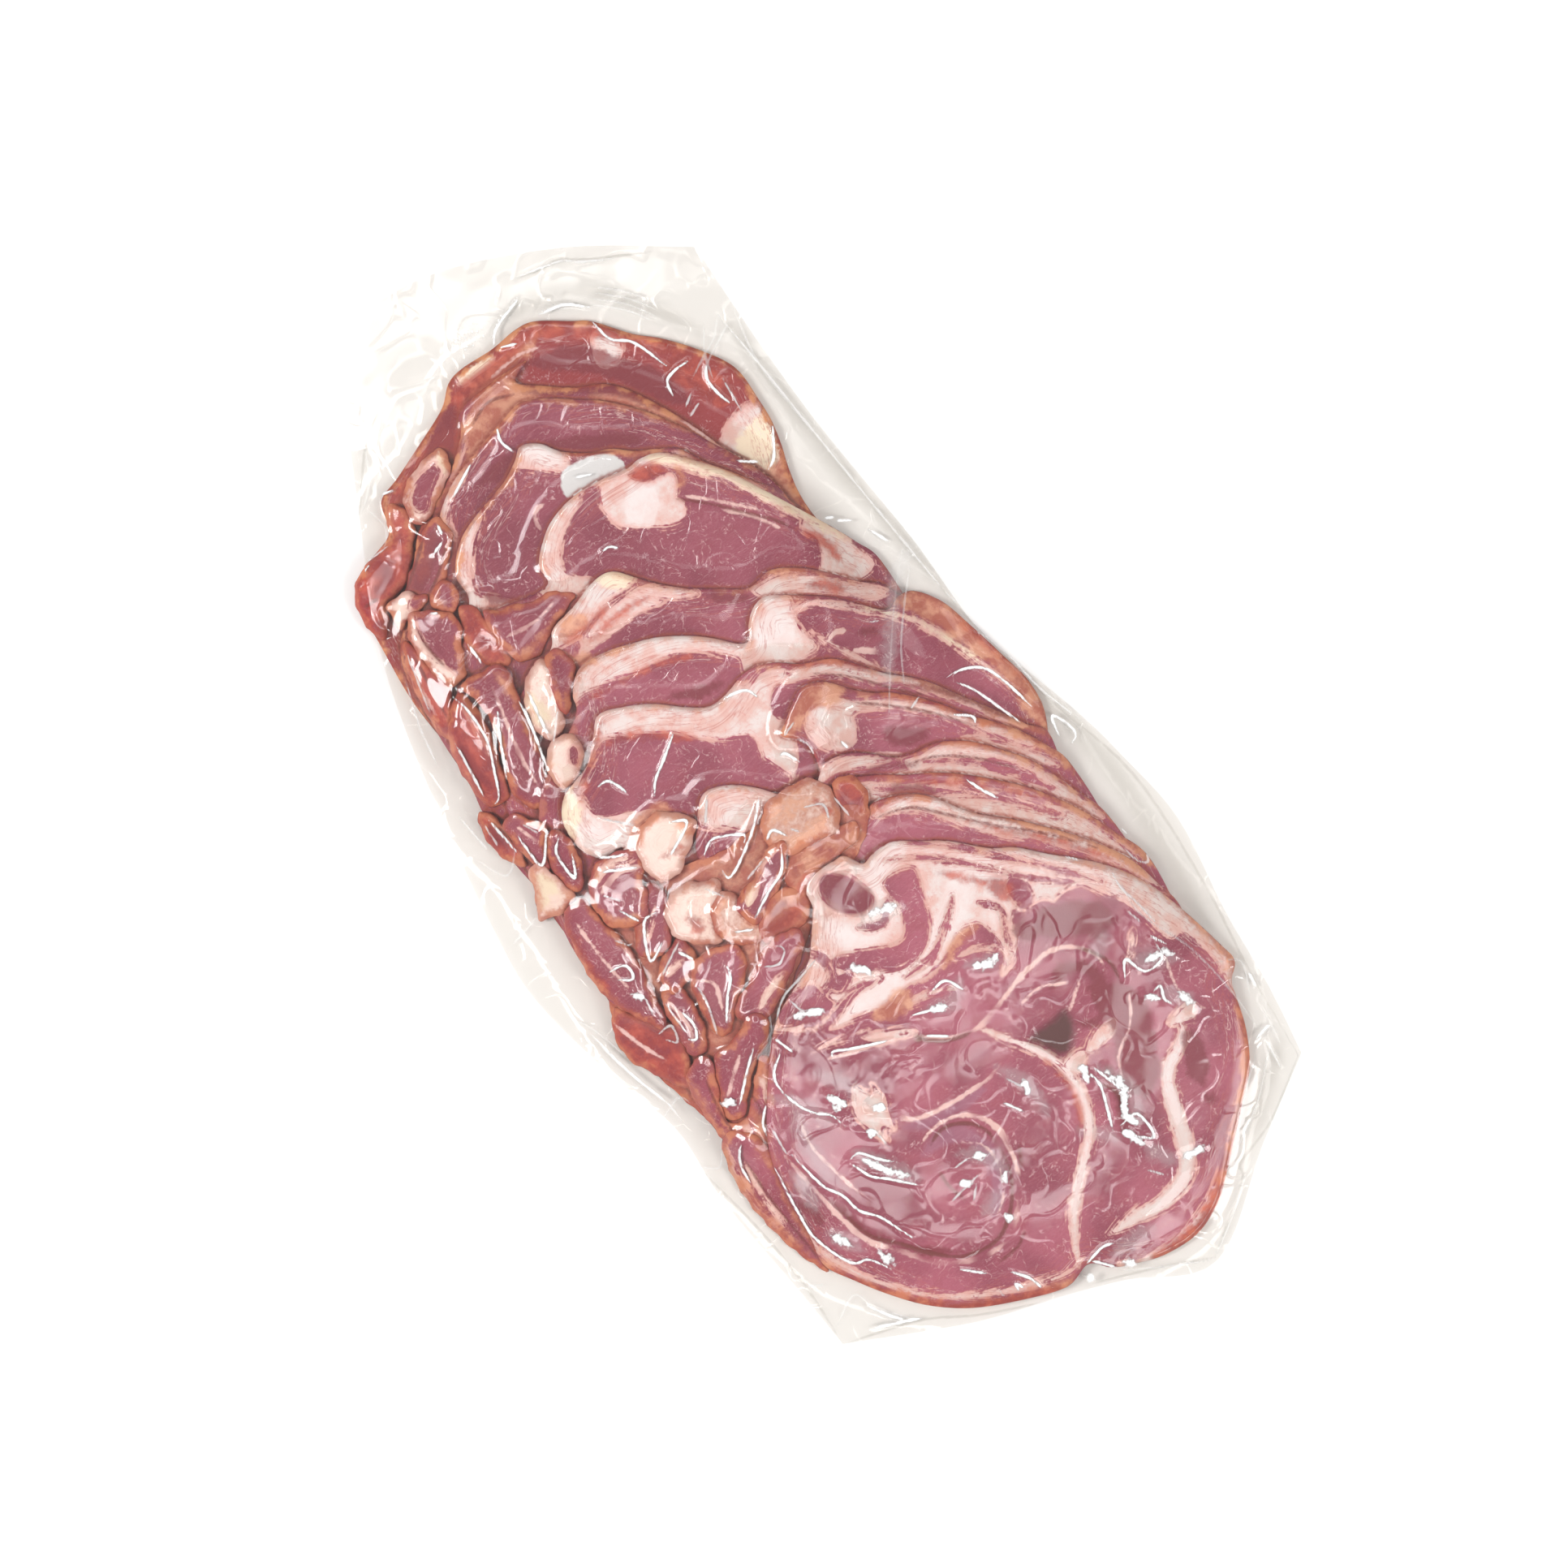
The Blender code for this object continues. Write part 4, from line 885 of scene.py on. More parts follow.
        ("warm", 0.9, [(-51, -61), (-51.6, -70), (-53.4, -80), (-54.6, -90)]),
    ],
}

# How strongly each piece's rim shows its browned outside, where it isn't middling
TONES = {
    "slice_01": 1.0, "slice_02": 0.85, "slice_03": 0.55, "slice_04": 0.6, "slice_05": 0.3, "slice_06": 0.35,
    "slice_07": 0.35, "slice_08": 0.35, "slice_09": 0.45, "slice_10": 0.45, "slice_11": 0.45,
    "slice_13": 0.4, "lobe_fat_round": 0.45, "lobe_cream_middle": 0.45, "lobe_cream_upper": 0.4,
    "lobe_cream_lower": 0.4, "lobe_cream_side": 0.45, "lobe_peach": 0.75,
}

# What holds for a whole slice and for a whole lobe: the rim's tone, how layered it is, and its glaze
SLICE_TRAITS = {"tone": 0.5, "layered": 1.0, "glaze": 0.0}
LOBE_TRAITS = {"tone": 0.85, "layered": 0.2, "glaze": 0.45}

# How deep the lean's colour is, from the near slices to the far ones: plan y, share
DEEPER = ((-40, 0, 40, 70), (0.0, 0.15, 0.45, 0.6))
# A lobe's lean is as deep as that of a slice this much further on
LOBE_DEEPER = 60

# Creases that stand up in the film: sharp ones, slight ones, and the tops of soft blisters; each is also
# drawn as a painted highlight
SHARP = [
    [(-26, -20), (-22, -22)], [(-32, -25), (-33, -28), (-36, -31), (-40, -36)],
    [(-47, -28), (-46.5, -32), (-48, -35), (-49.5, -34)], [(-38, -44), (-44, -49), (-49, -53.5)],
    [(-33, -45.5), (-31.5, -50.5)],
    [(-34, -49), (-38, -52), (-39, -56), (-38, -61), (-36, -65), (-33, -68), (-32, -72)],
    [(-25, -58), (-24, -56), (-20, -58), (-12, -61.5)], [(-44, -57), (-47, -60), (-48, -63)],
    [(-51, -70), (-53, -83), (-53.2, -90), (-50, -99), (-46, -101), (-43, -106)],
    [(-46, -70), (-44.5, -80), (-42, -85), (-41, -90), (-38, -94), (-36, -99), (-34.5, -103)],
    [(-36, -79), (-33, -79), (-30, -83), (-27, -86)], [(-36, -80), (-34, -85), (-31, -88), (-26, -93.5)],
    [(-54, -61), (-56, -63), (-57.5, -66), (-58, -70)], [(-4, -60), (1, -62), (3, -64)],
    [(-4, -66), (0, -69)], [(-30, -115.5), (-25.5, -120)], [(-21, -122.5), (-18, -127), (-17, -131)],
    [(-22, -128), (-21.5, -126), (-20.5, -128)], [(-5, -132), (0, -131), (3, -132)], [(-4, -132), (0, -137)],
    [(1, -89), (4, -94)], [(21, -94), (22, -99), (20, -105), (18, -110)], [(23, -95), (26, -105)],
    [(20, -110), (25, -110), (25, -117), (19, -111)], [(45, -89), (47, -89), (46, -92), (47, -94.5)],
    [(41, -83), (44, -79), (46, -84), (51, -84), (52, -80)], [(52, -78), (54, -82)],
    [(38.5, -23), (40, -27), (42, -31)], [(3, -58), (7, -58), (9, -62)], [(4, 25.5), (9, 24), (10.5, 21)],
    [(6.5, 7), (8, 6.5), (9.5, 3)], [(20, 1.5), (20.5, -1)], [(45, -9), (48.5, -12), (48, -14)],
    [(49, -1), (54, -2), (58, -5), (60, -11), (61.5, -18.5)], [(50, -3), (53, -8), (57, -20)],
    [(-57.5, 35), (-56.5, 25)], [(-54, 28), (-53.5, 19), (-47.5, 25)],
    [(-46, 22), (-49, 19), (-49, 12), (-46, 17)], [(-42, 13), (-39, 11), (-36, 9.5)],
    [(-43, 9.5), (-35.5, 5.5)], [(-32, 26), (-29, 25.5), (-27, 20.5)],
    [(-10, 26), (-16, 22), (-20, 19.5), (-22.5, 16.5)], [(-45, 0), (-42.5, -5)],
    [(-38, -5.5), (-42, -6), (-46, -14), (-41, -12)], [(-39.5, -16), (-37.5, -19.5)],
    [(-56, -10.5), (-52, -11), (-51, -13), (-52, -15), (-55, -13)], [(-23, 9.5), (-20, 7), (-28, 3)],
    [(-22, -2), (-18, 0.5), (-14, -1), (-11, -3), (-12, -4.5)],
    [(-2.5, 2.5), (-9, -3.5), (-19, -9), (-20, -5)],
    [(-8, -7.5), (-5, -6), (-3, -9)], [(-20, -20), (-14, -17), (-9, -15), (-6, -11)],
    [(-40, 82), (-38.5, 81)], [(-47, 63), (-46, 58), (-46.5, 50), (-49, 44), (-52, 38), (-54, 37)],
    [(-40.5, 54), (-44, 48), (-48, 40)], [(-53, 54), (-55, 40)], [(-37, 71), (-37, 65)],
    [(-32, 54), (-34.5, 41)], [(-35, 53), (-36, 47), (-39, 36)], [(-28, 94), (-31, 93)],
    [(-26.5, 98), (-27, 95.5)], [(1, 70), (3, 70), (4.5, 68.5)], [(6, 88), (10, 86)],
    [(39, 69), (43, 66)], [(36, 90), (37, 94), (40, 95), (44, 95)], [(47, 92), (45, 89), (45, 85), (46, 81)],
    [(51, 71), (47, 65), (44, 63)], [(10, 123.5), (13.5, 122)], [(31, 115.5), (32, 110), (36, 106), (39, 97)],
    [(-2, 108), (-3, 105), (-2, 101)], [(-20, 101), (-12, 105)], [(-33, 112), (-30, 111)],
    [(-53, 98), (-45, 100)], [(48, 46), (50, 45)], [(50, 44), (53, 42)], [(55, 38), (57, 33)],
    [(62.5, -28), (64, -23), (66, -27), (66, -30), (64, -31)], [(-68, -20), (-66, -32), (-62.5, -45)],
    [(-53, -110), (-50, -115), (-48, -117.5)], [(-55, -115), (-44, -120)], [(58, -113), (63, -112)],
    [(66, -99), (65.5, -103)], [(9, 125), (12, 128), (20, 130.5)], [(22, 124.5), (28, 123), (32.5, 119)],
]
SLIGHT = [
    [(-40.5, -25), (-41, -30), (-43.5, -37.5)], [(-49, -24), (-49, -33)], [(-52, -20), (-53, -25)],
    [(-55, -29), (-51, -29), (-52, -33), (-54, -31)], [(-20, -28), (-19, -30), (-22, -32), (-26, -30)],
    [(-14, -36), (-20, -37.5), (-26, -39), (-31, -43)], [(-25, -40), (-24, -44), (-21, -45.5)],
    [(-46, -62), (-47, -70)], [(-27, -76), (-26.5, -82)], [(-17, -95), (-13, -95)],
    [(-22, -101), (-13, -99.5)], [(-18, -104), (-15, -101)], [(-25.5, -125), (-25.5, -127)],
    [(5, -85), (7, -89)], [(19, -122), (22, -126)], [(51, -70), (52, -74)], [(61.5, -54), (62, -56)],
    [(59, -57), (60, -62), (62, -64), (63, -62)], [(53.5, -60), (53, -65), (54, -70), (55, -77)],
    [(46.5, -51), (49, -54)], [(10, 10), (14, 11.5)], [(12, 8), (13.5, 5), (13, 2)], [(38, -2), (41, -1)],
    [(42, 20), (44, 19)], [(4, -6), (8, -8), (7, -12)], [(-1.5, -8), (0, -10)], [(11, -8), (11.5, -14)],
    [(-59, 35), (-59.5, 28)], [(-51.5, 29.5), (-49.5, 25.5)], [(-36, 20), (-30, 13.5)], [(-46, 5), (-43, 1)],
    [(-50, -5), (-48, -8), (-46.5, -8)], [(-37.5, -14), (-47, -19)], [(-12.5, 9.5), (-17, 4)],
    [(-25.5, -8), (-23, -12)], [(-17, -12), (-10, -10)], [(-50, 78), (-52, 70), (-54, 62)],
    [(-29, 46), (-34.5, 40)], [(37, 86.5), (40, 88.5)], [(36.5, 84), (40, 85.5)], [(48, 87), (47, 78)],
    [(-39, 101), (-45, 101)], [(-54, 73), (-58, 62), (-60, 52)], [(-63, 40), (-62, 29)],
    [(-63, -42), (-62.5, -49)], [(60, -114), (59, -122)],
    [(56, 100), (57, 85), (58, 65), (60, 30), (61, 15), (62.5, 8)],
    [(61, 4), (64, -3), (65, -12), (66, -18), (69, -28)], [(22, 135), (33, 132), (37, 129), (44, 125)],
]
BLISTERS = [
    [(-31, -64), (-29, -68)], [(0, -61.5), (4, -63)], [(14, -59), (18, -61), (20, -60)],
    [(48, -82), (52, -83), (54, -85)], [(49.5, -93), (51, -97)],
    [(25, -98), (26, -103), (23, -108), (24, -113)],
    [(-12, -95), (-9, -97)], [(-18, -99), (-16, -100)], [(-50, -91), (-47, -96)], [(-14, -111), (-13, -113)],
    [(-52, -51), (-49, -52)], [(-32, -67), (-30, -67.5)], [(-7, -136), (-6, -135)], [(2, -137), (4, -139)],
    [(-54, -18), (-52.5, -20)], [(2, -35), (8, -37)], [(-33, -81), (-30, -86), (-27, -90)],
    [(-24, -72), (-22, -74)], [(-28.5, -76), (-27, -77.5)], [(-8, -103), (-9.5, -105)],
    [(21, -93), (20, -97)],
    [(20, -111), (22, -117)], [(43, -89), (45, -91)], [(28, -125), (33, -126)], [(-43, -101), (-42, -105)],
    [(8, -88), (7, -91)], [(-26, -44), (-20, -47)], [(-9, -42), (-6, -46)],
]
# Broad soft painted sheens on the film, drawn only and not raised
PAINTED_SHEENS = [
    [(-42, -56), (-37, -62), (-34, -70)], [(-30, -58), (-26, -64), (-24, -72)],
    [(-34, -78), (-29, -86), (-25, -92)],
    [(5, -82), (8, -89), (8, -97)], [(-14, -93), (-9, -98), (-8, -103)], [(0, -61), (5, -63), (10, -60)],
    [(13, -58), (20, -62)], [(45, -80), (54, -86)], [(47, -90), (51, -98)],
    [(24, -96), (27, -104), (24, -112)],
    [(22, -118), (26, -125)], [(-3, -35), (9, -38)], [(-48, -74), (-49, -84)], [(-50, -90), (-46, -98)],
    [(61, 29), (54, 25), (48, 19), (37, 6)], [(1, -134), (12, -134)],
    [(-38, -60), (-42, -72), (-41, -84)], [(-18, -108), (-12, -106)], [(12, -105), (18, -112)],
    [(38, -74), (44, -72)],
]
# Fine lines drawn on the film only as painted highlights, mostly along folds in the margin
FINE_HIGHLIGHT_LINES = [[(33 + k, 119.5 + k), (39 + k, 113.5 + k), (43 + k, 107 + k)] for k in range(4)] + [
    [(56, 100), (52, 96), (48, 94), (42, 91)], [(57, 97), (50, 93.5), (44, 90)],
    [(52, 100), (48, 94), (46, 88)],
    [(60.5, 31), (55, 26), (47, 17.5), (38, 6.5), (33, 0)], [(58.5, 26), (52, 19.5), (45, 11.5), (40, 3.5)],
    [(60, 100), (57, 84), (58, 62)], [(54, -62), (53, -72), (58, -86), (60, -100), (60, -112)],
    [(-66, 30), (-62, 22), (-56, 26)], [(-62, 10), (-66, 9), (-71, 8)], [(-70, -14), (-67, -19), (-64, -30)],
    [(-66, -46), (-60, -44), (-58, -47)], [(-66, -60), (-62, -63), (-59, -60)], [(-62, -98), (-58, -100)],
    [(-62, -110), (-54, -106), (-52, -112)], [(60, -92), (66, -96), (63, -104)], [(64, -108), (62, -118)],
    [(-38, 112), (-37, 105), (-40, 101)], [(-30, 123), (-34, 116), (-40, 111)],
    [(38, -132), (50, -125), (60, -116)],
    [(40, -130), (48, -122), (56, -116)], [(0, -138), (8, -143), (19, -149)],
    [(20, -149), (30, -143), (38, -137)],
]
RIMS = [
    [(22, 135), (27, 133.4), (33, 132.5), (38, 129), (44, 125.5), (52, 121)],
    [(59, 62), (60, 30), (61.5, 8), (65.5, -18), (71.5, -45), (70, -75), (66.5, -98), (64, -122)],
    [(64, -122), (50, -130.5), (38, -134.5), (36, -138), (20, -149)], [(20, -149), (8, -143), (-8, -136.5)],
    [(-63, -114), (-45, -120), (-33, -127), (-18, -134)], [(-40, 111.5), (-30, 123), (-20, 130)],
    [(-40, 112), (-46, 104), (-54, 100)], [(-66, -60), (-63, -80), (-62, -98), (-63, -114)],
]
# Film lying doubled at folds, drawn in a darker tint, which along the right side is also painted shadow
DOUBLED_AND_SHADED = [
    [(12, 129), (26, 127), (36, 121), (44, 110), (50, 99)],
    [(57, 96), (57, 70), (58.5, 40)], [(62, -8), (66, -25), (68, -45), (67, -65), (65, -85)],
    [(59, 44), (61, 24), (63.5, 6)], [(61.5, 36), (64, 20), (67, 2)], [(44, -130), (54, -123), (62, -117)],
]
BEADS = [[(9, 126), (12, 128.5), (20, 130.8)], [(22, 124.6), (28, 123.2), (32, 120)]]
EMBOSSED = [[(1, 128.5), (3, 131), (5.5, 132)], [(5.5, 128), (8, 132.5)]]

# Ridges in the film's height: height, width, lines
CREASE_SIZES = ((0.15, 0.6, SHARP), (0.1, 0.5, SLIGHT), (0.3, 1.7, BLISTERS))
CREASE_REACH = 3
# What is drawn on the film: kind, half width, lines. The white kinds are painted highlights and painted
# sheens, the dots are the seal's embossing, and edges and doubled layers take a darker tint
MARK_SIZES = (
    ("sharp_highlight", 0.3, SHARP), ("slight_highlight", 0.25, SLIGHT), ("fine", 0.25, FINE_HIGHLIGHT_LINES), ("blister_highlight", 0.8, BLISTERS),
    ("painted_sheen", 1.8, PAINTED_SHEENS), ("edge", 0.3, RIMS), ("doubled_and_shaded", 2.0, DOUBLED_AND_SHADED), ("dots", 0.6, BEADS),
    ("dots", 2.5, EMBOSSED),
)
MARK_REACH = 2.5
LINE_ENDS = (5, 0.1)

# A plain slice's tissue, for the sides of the others that lie face down
PLAIN_SLICE = "slice_13"
PATTERN_MIDDLE = (5.0, -81.0)


def smooth_curve(points, closed, per_span=6):
    """Points along a Catmull-Rom curve through the given ones."""
    pts = np.array(points, float)
    if closed:
        a, b, c, d = (np.roll(pts, -k, axis=0) for k in (-1, 0, 1, 2))
    else:
        wide = np.vstack([2 * pts[0] - pts[1], pts, 2 * pts[-1] - pts[-2]])
        a, b, c, d = wide[:-3], wide[1:-2], wide[2:-1], wide[3:]
    t = (np.arange(per_span) / per_span)[None, :, None]
    a, b, c, d = (p[:, None] for p in (a, b, c, d))
    line = 0.5 * (2 * b + (c - a) * t + (2 * a - 5 * b + 4 * c - d) * t ** 2
                  + (3 * b - a - 3 * c + d) * t ** 3)
    line = line.reshape(-1, 2)
    return line if closed else np.vstack([line, pts[-1]])


def slice_outline(middle_x, middle_y, half_x, half_y, shown):
    """A slice's closed outline: the edge that shows, then an ellipse for the edge that the others hide."""
    end, start = (math.atan2((y - middle_y) / half_y, (x - middle_x) / half_x)
                  for x, y in (shown[0], shown[-1]))
    gap = (start - end) % (2 * math.pi)
    steps = int(gap / math.radians(HIDDEN_TURN))
    points = list(shown)
    for k in range(1, steps):
        turn = start - gap * k / steps
        points.append((middle_x + half_x * math.cos(turn), middle_y + half_y * math.sin(turn)))
    return smooth_curve(points, closed=True)


def lengths_along(line):
    """How far along a line each of its points is."""
    return np.concatenate([[0], np.cumsum(np.hypot(*np.diff(line, axis=0).T))])


def points_at(at, run, line):
    """The points of a line at some lengths along it."""
    return np.stack([np.interp(at, run, line[:, 0]), np.interp(at, run, line[:, 1])], axis=1)


def sideways(outline):
    """The direction across a closed outline at each of its points."""
    along = np.roll(outline, -1, axis=0) - np.roll(outline, 1, axis=0)
    along /= np.maximum(np.hypot(along[:, 0], along[:, 1]), TINY)[:, None]
    return np.stack([along[:, 1], -along[:, 0]], axis=1)


def name_number(name):
    """A number of its own for a piece, from its name."""
    return sum(map(ord, name))


def wobble(outline, name):
    """The outline made a little uneven, in its own way for each name."""
    run = lengths_along(np.vstack([outline, outline[:1]]))
    push = np.zeros(len(outline))
    for length, size in LOBE_WOBBLE:
        waves = max(round(run[-1] / length), LEAST_WAVES)
        push += size * np.sin(2 * math.pi * waves * run[:-1] / run[-1] + name_number(name) * length)
    return outline + sideways(outline) * push[:, None]


def line_distance(line, x, y, closed):
    """Each point's distance from a line of points, and how far along the line its nearest place is."""
    best = np.full(x.shape, FAR_AWAY)
    along = np.zeros(x.shape)
    ends = np.roll(line, -1, axis=0) if closed else line[1:]
    run = 0.0
    for (ax, ay), (bx, by) in zip(line, ends):
        ex, ey = bx - ax, by - ay
        size = ex * ex + ey * ey
        share = np.clip(((x - ax) * ex + (y - ay) * ey) / max(size, TINY), 0, 1)
        away = (x - ax - share * ex) ** 2 + (y - ay - share * ey) ** 2
        nearer = away < best
        best = np.where(nearer, away, best)
        along = np.where(nearer, run + share * math.sqrt(size), along)
        run += math.sqrt(size)
    return np.sqrt(best), along / max(run, TINY)


def depth_inside(outline, x, y):
    """How deep each point lies inside a closed outline, negative outside it."""
    crossings = np.zeros(x.shape, bool)
    for (ax, ay), (bx, by) in zip(outline, np.roll(outline, -1, axis=0)):
        if ay != by:
            crossings ^= ((ay > y) != (by > y)) & (x < ax + (y - ay) * (bx - ax) / (by - ay))
    return np.where(crossings, 1, -1) * line_distance(outline, x, y, True)[0]


def depth_in_band(line, half_width, x, y, taper, blunt):
    """How deep each point lies inside a band along a line, which narrows to its ends."""
    away, along = line_distance(line, x, y, False)
    return half_width * np.sqrt(np.clip(np.minimum(along, 1 - along) * taper, blunt, 1)) - away


def near_box(line, reach, x, y):
    """Which points lie within a reach of the box round a line."""
    low, high = line.min(axis=0) - reach, line.max(axis=0) + reach
    return (x > low[0]) & (x < high[0]) & (y > low[1]) & (y < high[1])


def blur(field, half, rounds=3):
    """The field averaged over a square window, a number of times over."""
    for axis in (0, 1):
        for _ in range(rounds):
            wide = np.pad(field, [(half + 1, half) if k == axis else (0, 0) for k in (0, 1)], mode="edge")
            total = np.cumsum(wide, axis=axis)
            upper = np.take(total, range(2 * half + 1, total.shape[axis]), axis=axis)
            lower = np.take(total, range(0, total.shape[axis] - 2 * half - 1), axis=axis)
            field = (upper - lower) / (2 * half + 1)
    return field


def read_field(field, x, y):
    """The field's height at points between its grid points."""
    col = np.clip((x + REACH_X) / CELL, 0, field.shape[1] - GRID_END)
    row = np.clip((y + REACH_Y) / CELL, 0, field.shape[0] - GRID_END)
    c, r = col.astype(int), row.astype(int)
    u, v = col - c, row - r
    low = field[r, c] * (1 - u) + field[r, c + 1] * u
    high = field[r + 1, c] * (1 - u) + field[r + 1, c + 1] * u
    return low * (1 - v) + high * v


def step_up(value, low, high):
    """0 below low, 1 above high and a smooth rise between."""
    t = np.clip((value - low) / (high - low), 0, 1)
    return t * t * (3 - 2 * t)


def round_rim(depth, reach):
    """A quarter circle's rise from the rim to its full height at the reach."""
    return np.sqrt(1 - (1 - np.clip(depth / reach, 0, 1)) ** 2)


def grid_axes():
    """The working grid's x and y at each of its points."""
    axis_x = np.arange(-REACH_X, REACH_X + CELL / 2, CELL)
    axis_y = np.arange(-REACH_Y, REACH_Y + CELL / 2, CELL)
    return np.meshgrid(axis_x, axis_y)


class Piece:
    """A slice or a lobe: its outline and its fields on the working grid."""

    def __init__(self, name, outline, rise, tissue, grid):
        self.name, self.outline, self.rise, self.tissue = name, outline, rise, tissue
        self.is_slice = tissue is None
        spans = zip(outline.min(axis=0) - WINDOW_SPARE, outline.max(axis=0) + WINDOW_SPARE,
                    (REACH_X, REACH_Y), grid[0].shape[::-1])
        cols, rows = (np.clip(((np.array([low, high]) + reach) / CELL).astype(int), 0, size - 1)
                      for low, high, reach, size in spans)
        self.window = (slice(rows[0], rows[1] + 1), slice(cols[0], cols[1] + 1))
        self.depth = depth_inside(outline, *(axis[self.window] for axis in grid))
        self.reach = RIM_ROUND if self.is_slice else LOBE_ROUND * self.depth.max()
        self.middle = outline.mean(axis=0)
        self.half = np.ptp(outline, axis=0).max() / 2
        self.turn = name_number(name) % LOBE_TURNS
        self.under = None
        self.hidden = None
        self.hollow = None

    def thickness(self, depth):
        """How far the top and the underside stand above what the piece rests on."""
        edge = SLICE_EDGE if self.is_slice else LOBE_EDGE
        top = self.rise * (edge + (1 - edge) * round_rim(depth, self.reach))
        return top, self.rise * (edge - edge * round_rim(depth, RIM_ROUND))

    def tilt(self, x, y, depth):
        """How much a lobe's top leans: up on one side and down on the other."""
        if self.is_slice:
            return 0.0
        along = (x - self.middle[0]) * math.cos(self.turn) + (y - self.middle[1]) * math.sin(self.turn)
        return LOBE_TILT * self.rise * np.clip(along / self.half, -1, 1) * step_up(depth, 0, self.reach)


def all_pieces(grid):
    """The slices in the order they were laid, each followed by the lobes that lie on it."""
    found = []
    for number, (name, middle_x, middle_y, half_x, half_y, shown) in enumerate(SLICES, 1):
        outline = slice_outline(middle_x, middle_y, half_x, half_y, shown)
        found.append(Piece(name, outline, SLICE_THICK, None, grid))
        for lobe, on, rise, tissue, points in LOBES:
            if on == number:
                found.append(Piece(lobe, wobble(smooth_curve(points, closed=True), lobe), rise, tissue, grid))
    return found


def drape(pieces, grid):
    """Lays the pieces one after another, and returns the height of the meat's top everywhere."""
    ground = np.full(grid[0].shape, TABLE_GAP)
    top_slice = pieces[-1]
    for piece in pieces:
        wide = TOP_DRAPE_HALF if piece is top_slice else DRAPE_HALF
        rest = blur(np.maximum(ground, blur(ground, wide)), wide // 2)
        piece.under = rest
        here = [axis[piece.window] for axis in grid]
        top = rest[piece.window] + piece.thickness(piece.depth)[0] + piece.tilt(*here, piece.depth)
        view = ground[piece.window]
        view[:] = np.where(piece.depth > 0, np.maximum(view, top), view)
    # How far the top lies below its surroundings, which sets the painted shade in the hollows
    hollow = blur(ground, 1) - ground
    cover = np.full(grid[0].shape, UNCOVERED)
    for piece in reversed(pieces):
        piece.hollow = hollow
        piece.hidden = cover.copy()
        view = cover[piece.window]
        view[:] = np.maximum(view, piece.depth)
    return ground


def resample(piece):
    """The outline's points, close together where it shows and further apart where it is covered."""
    ring = np.vstack([piece.outline, piece.outline[:1]])
    gaps = np.hypot(*np.diff(ring, axis=0).T)
    run = lengths_along(ring)
    shown = SHOWN_STEP if piece.is_slice else LOBE_STEP
    step = np.where(read_field(piece.hidden, *ring.T) > HIDDEN_DEPTH, HIDDEN_STEP, shown)
    count = np.concatenate([[0], np.cumsum(gaps / np.minimum(step[1:], step[:-1]))])
    total = int(count[-1])
    at = np.interp(np.arange(total) * count[-1] / total, count, run)
    return points_at(at, run, ring)


def hex_points(low, high, step):
    """Points a step apart in staggered rows."""
    rows = np.arange(low[1], high[1], step * HEX_ROW)
    cols = np.arange(low[0], high[0], step)
    x, y = np.meshgrid(cols, rows)
    x = x + (np.arange(len(rows)) % 2)[:, None] * step / 2
    return np.stack([x.ravel(), y.ravel()], axis=1)


def triangulate(outline, inner):
    """Triangles inside the outline over its own points, which come first, and the inner ones."""
    points = np.vstack([outline, inner])
    count = len(outline)
    edges = [(k, (k + 1) % count) for k in range(count)]
    verts, _, faces, origins, _, _ = delaunay_2d_cdt([Vector(p) for p in points], edges, [],
                                                     CUT_INSIDE, CUT_JOIN)
    at = np.array([v[:] for v in verts])
    order = np.full(len(points), -1)
    for new, old in enumerate(origins):
        if old:
            order[old[0]] = new
    keep = np.concatenate([order[:count], np.setdiff1d(np.arange(len(at)), order[:count])])
    back = np.empty(len(at), int)
    back[keep] = np.arange(len(at))
    return at[keep], back[np.array(faces)]


def rim_points(outline, depths):
    """Rings of points a little way inside the outline, left out where the outline folds in."""
    x, y = outline.T
    turning = np.sum(x * np.roll(y, -1) - np.roll(x, -1) * y)
    inward = sideways(outline) * (-1 if turning > 0 else 1)
    rings = []
    for depth in depths:
        ring = outline + inward * depth
        rings.append(ring[depth_inside(outline, *ring.T) > depth * RING_KEPT])
    return np.vstack(rings)


def side_points(piece, outline, upper):
    """The inner points of one side: rings at the rim, then close together where it shows."""
    depths = SLICE_RINGS if piece.is_slice else LOBE_RINGS
    low, high = outline.min(axis=0), outline.max(axis=0)
    shown = RING_STEP if piece.is_slice else LOBE_STEP
    step = shown if upper else BELOW_STEP
    near = hex_points(low, high, step)
    keep = depth_inside(outline, *near.T) > depths[-1] + step * RING_SPARE
    if not upper:
        return np.vstack([rim_points(outline, depths), near[keep]])
    keep &= read_field(piece.hidden, *near.T) < HIDDEN_DEPTH + HIDDEN_SPARE
    far = hex_points(low, high, COARSE_STEP)
    inside = depth_inside(outline, *far.T) > depths[-1] + COARSE_SPARE
    covered = read_field(piece.hidden, *far.T) > HIDDEN_DEPTH + HIDDEN_SPARE
    return np.vstack([rim_points(outline, depths), near[keep], far[inside & covered]])


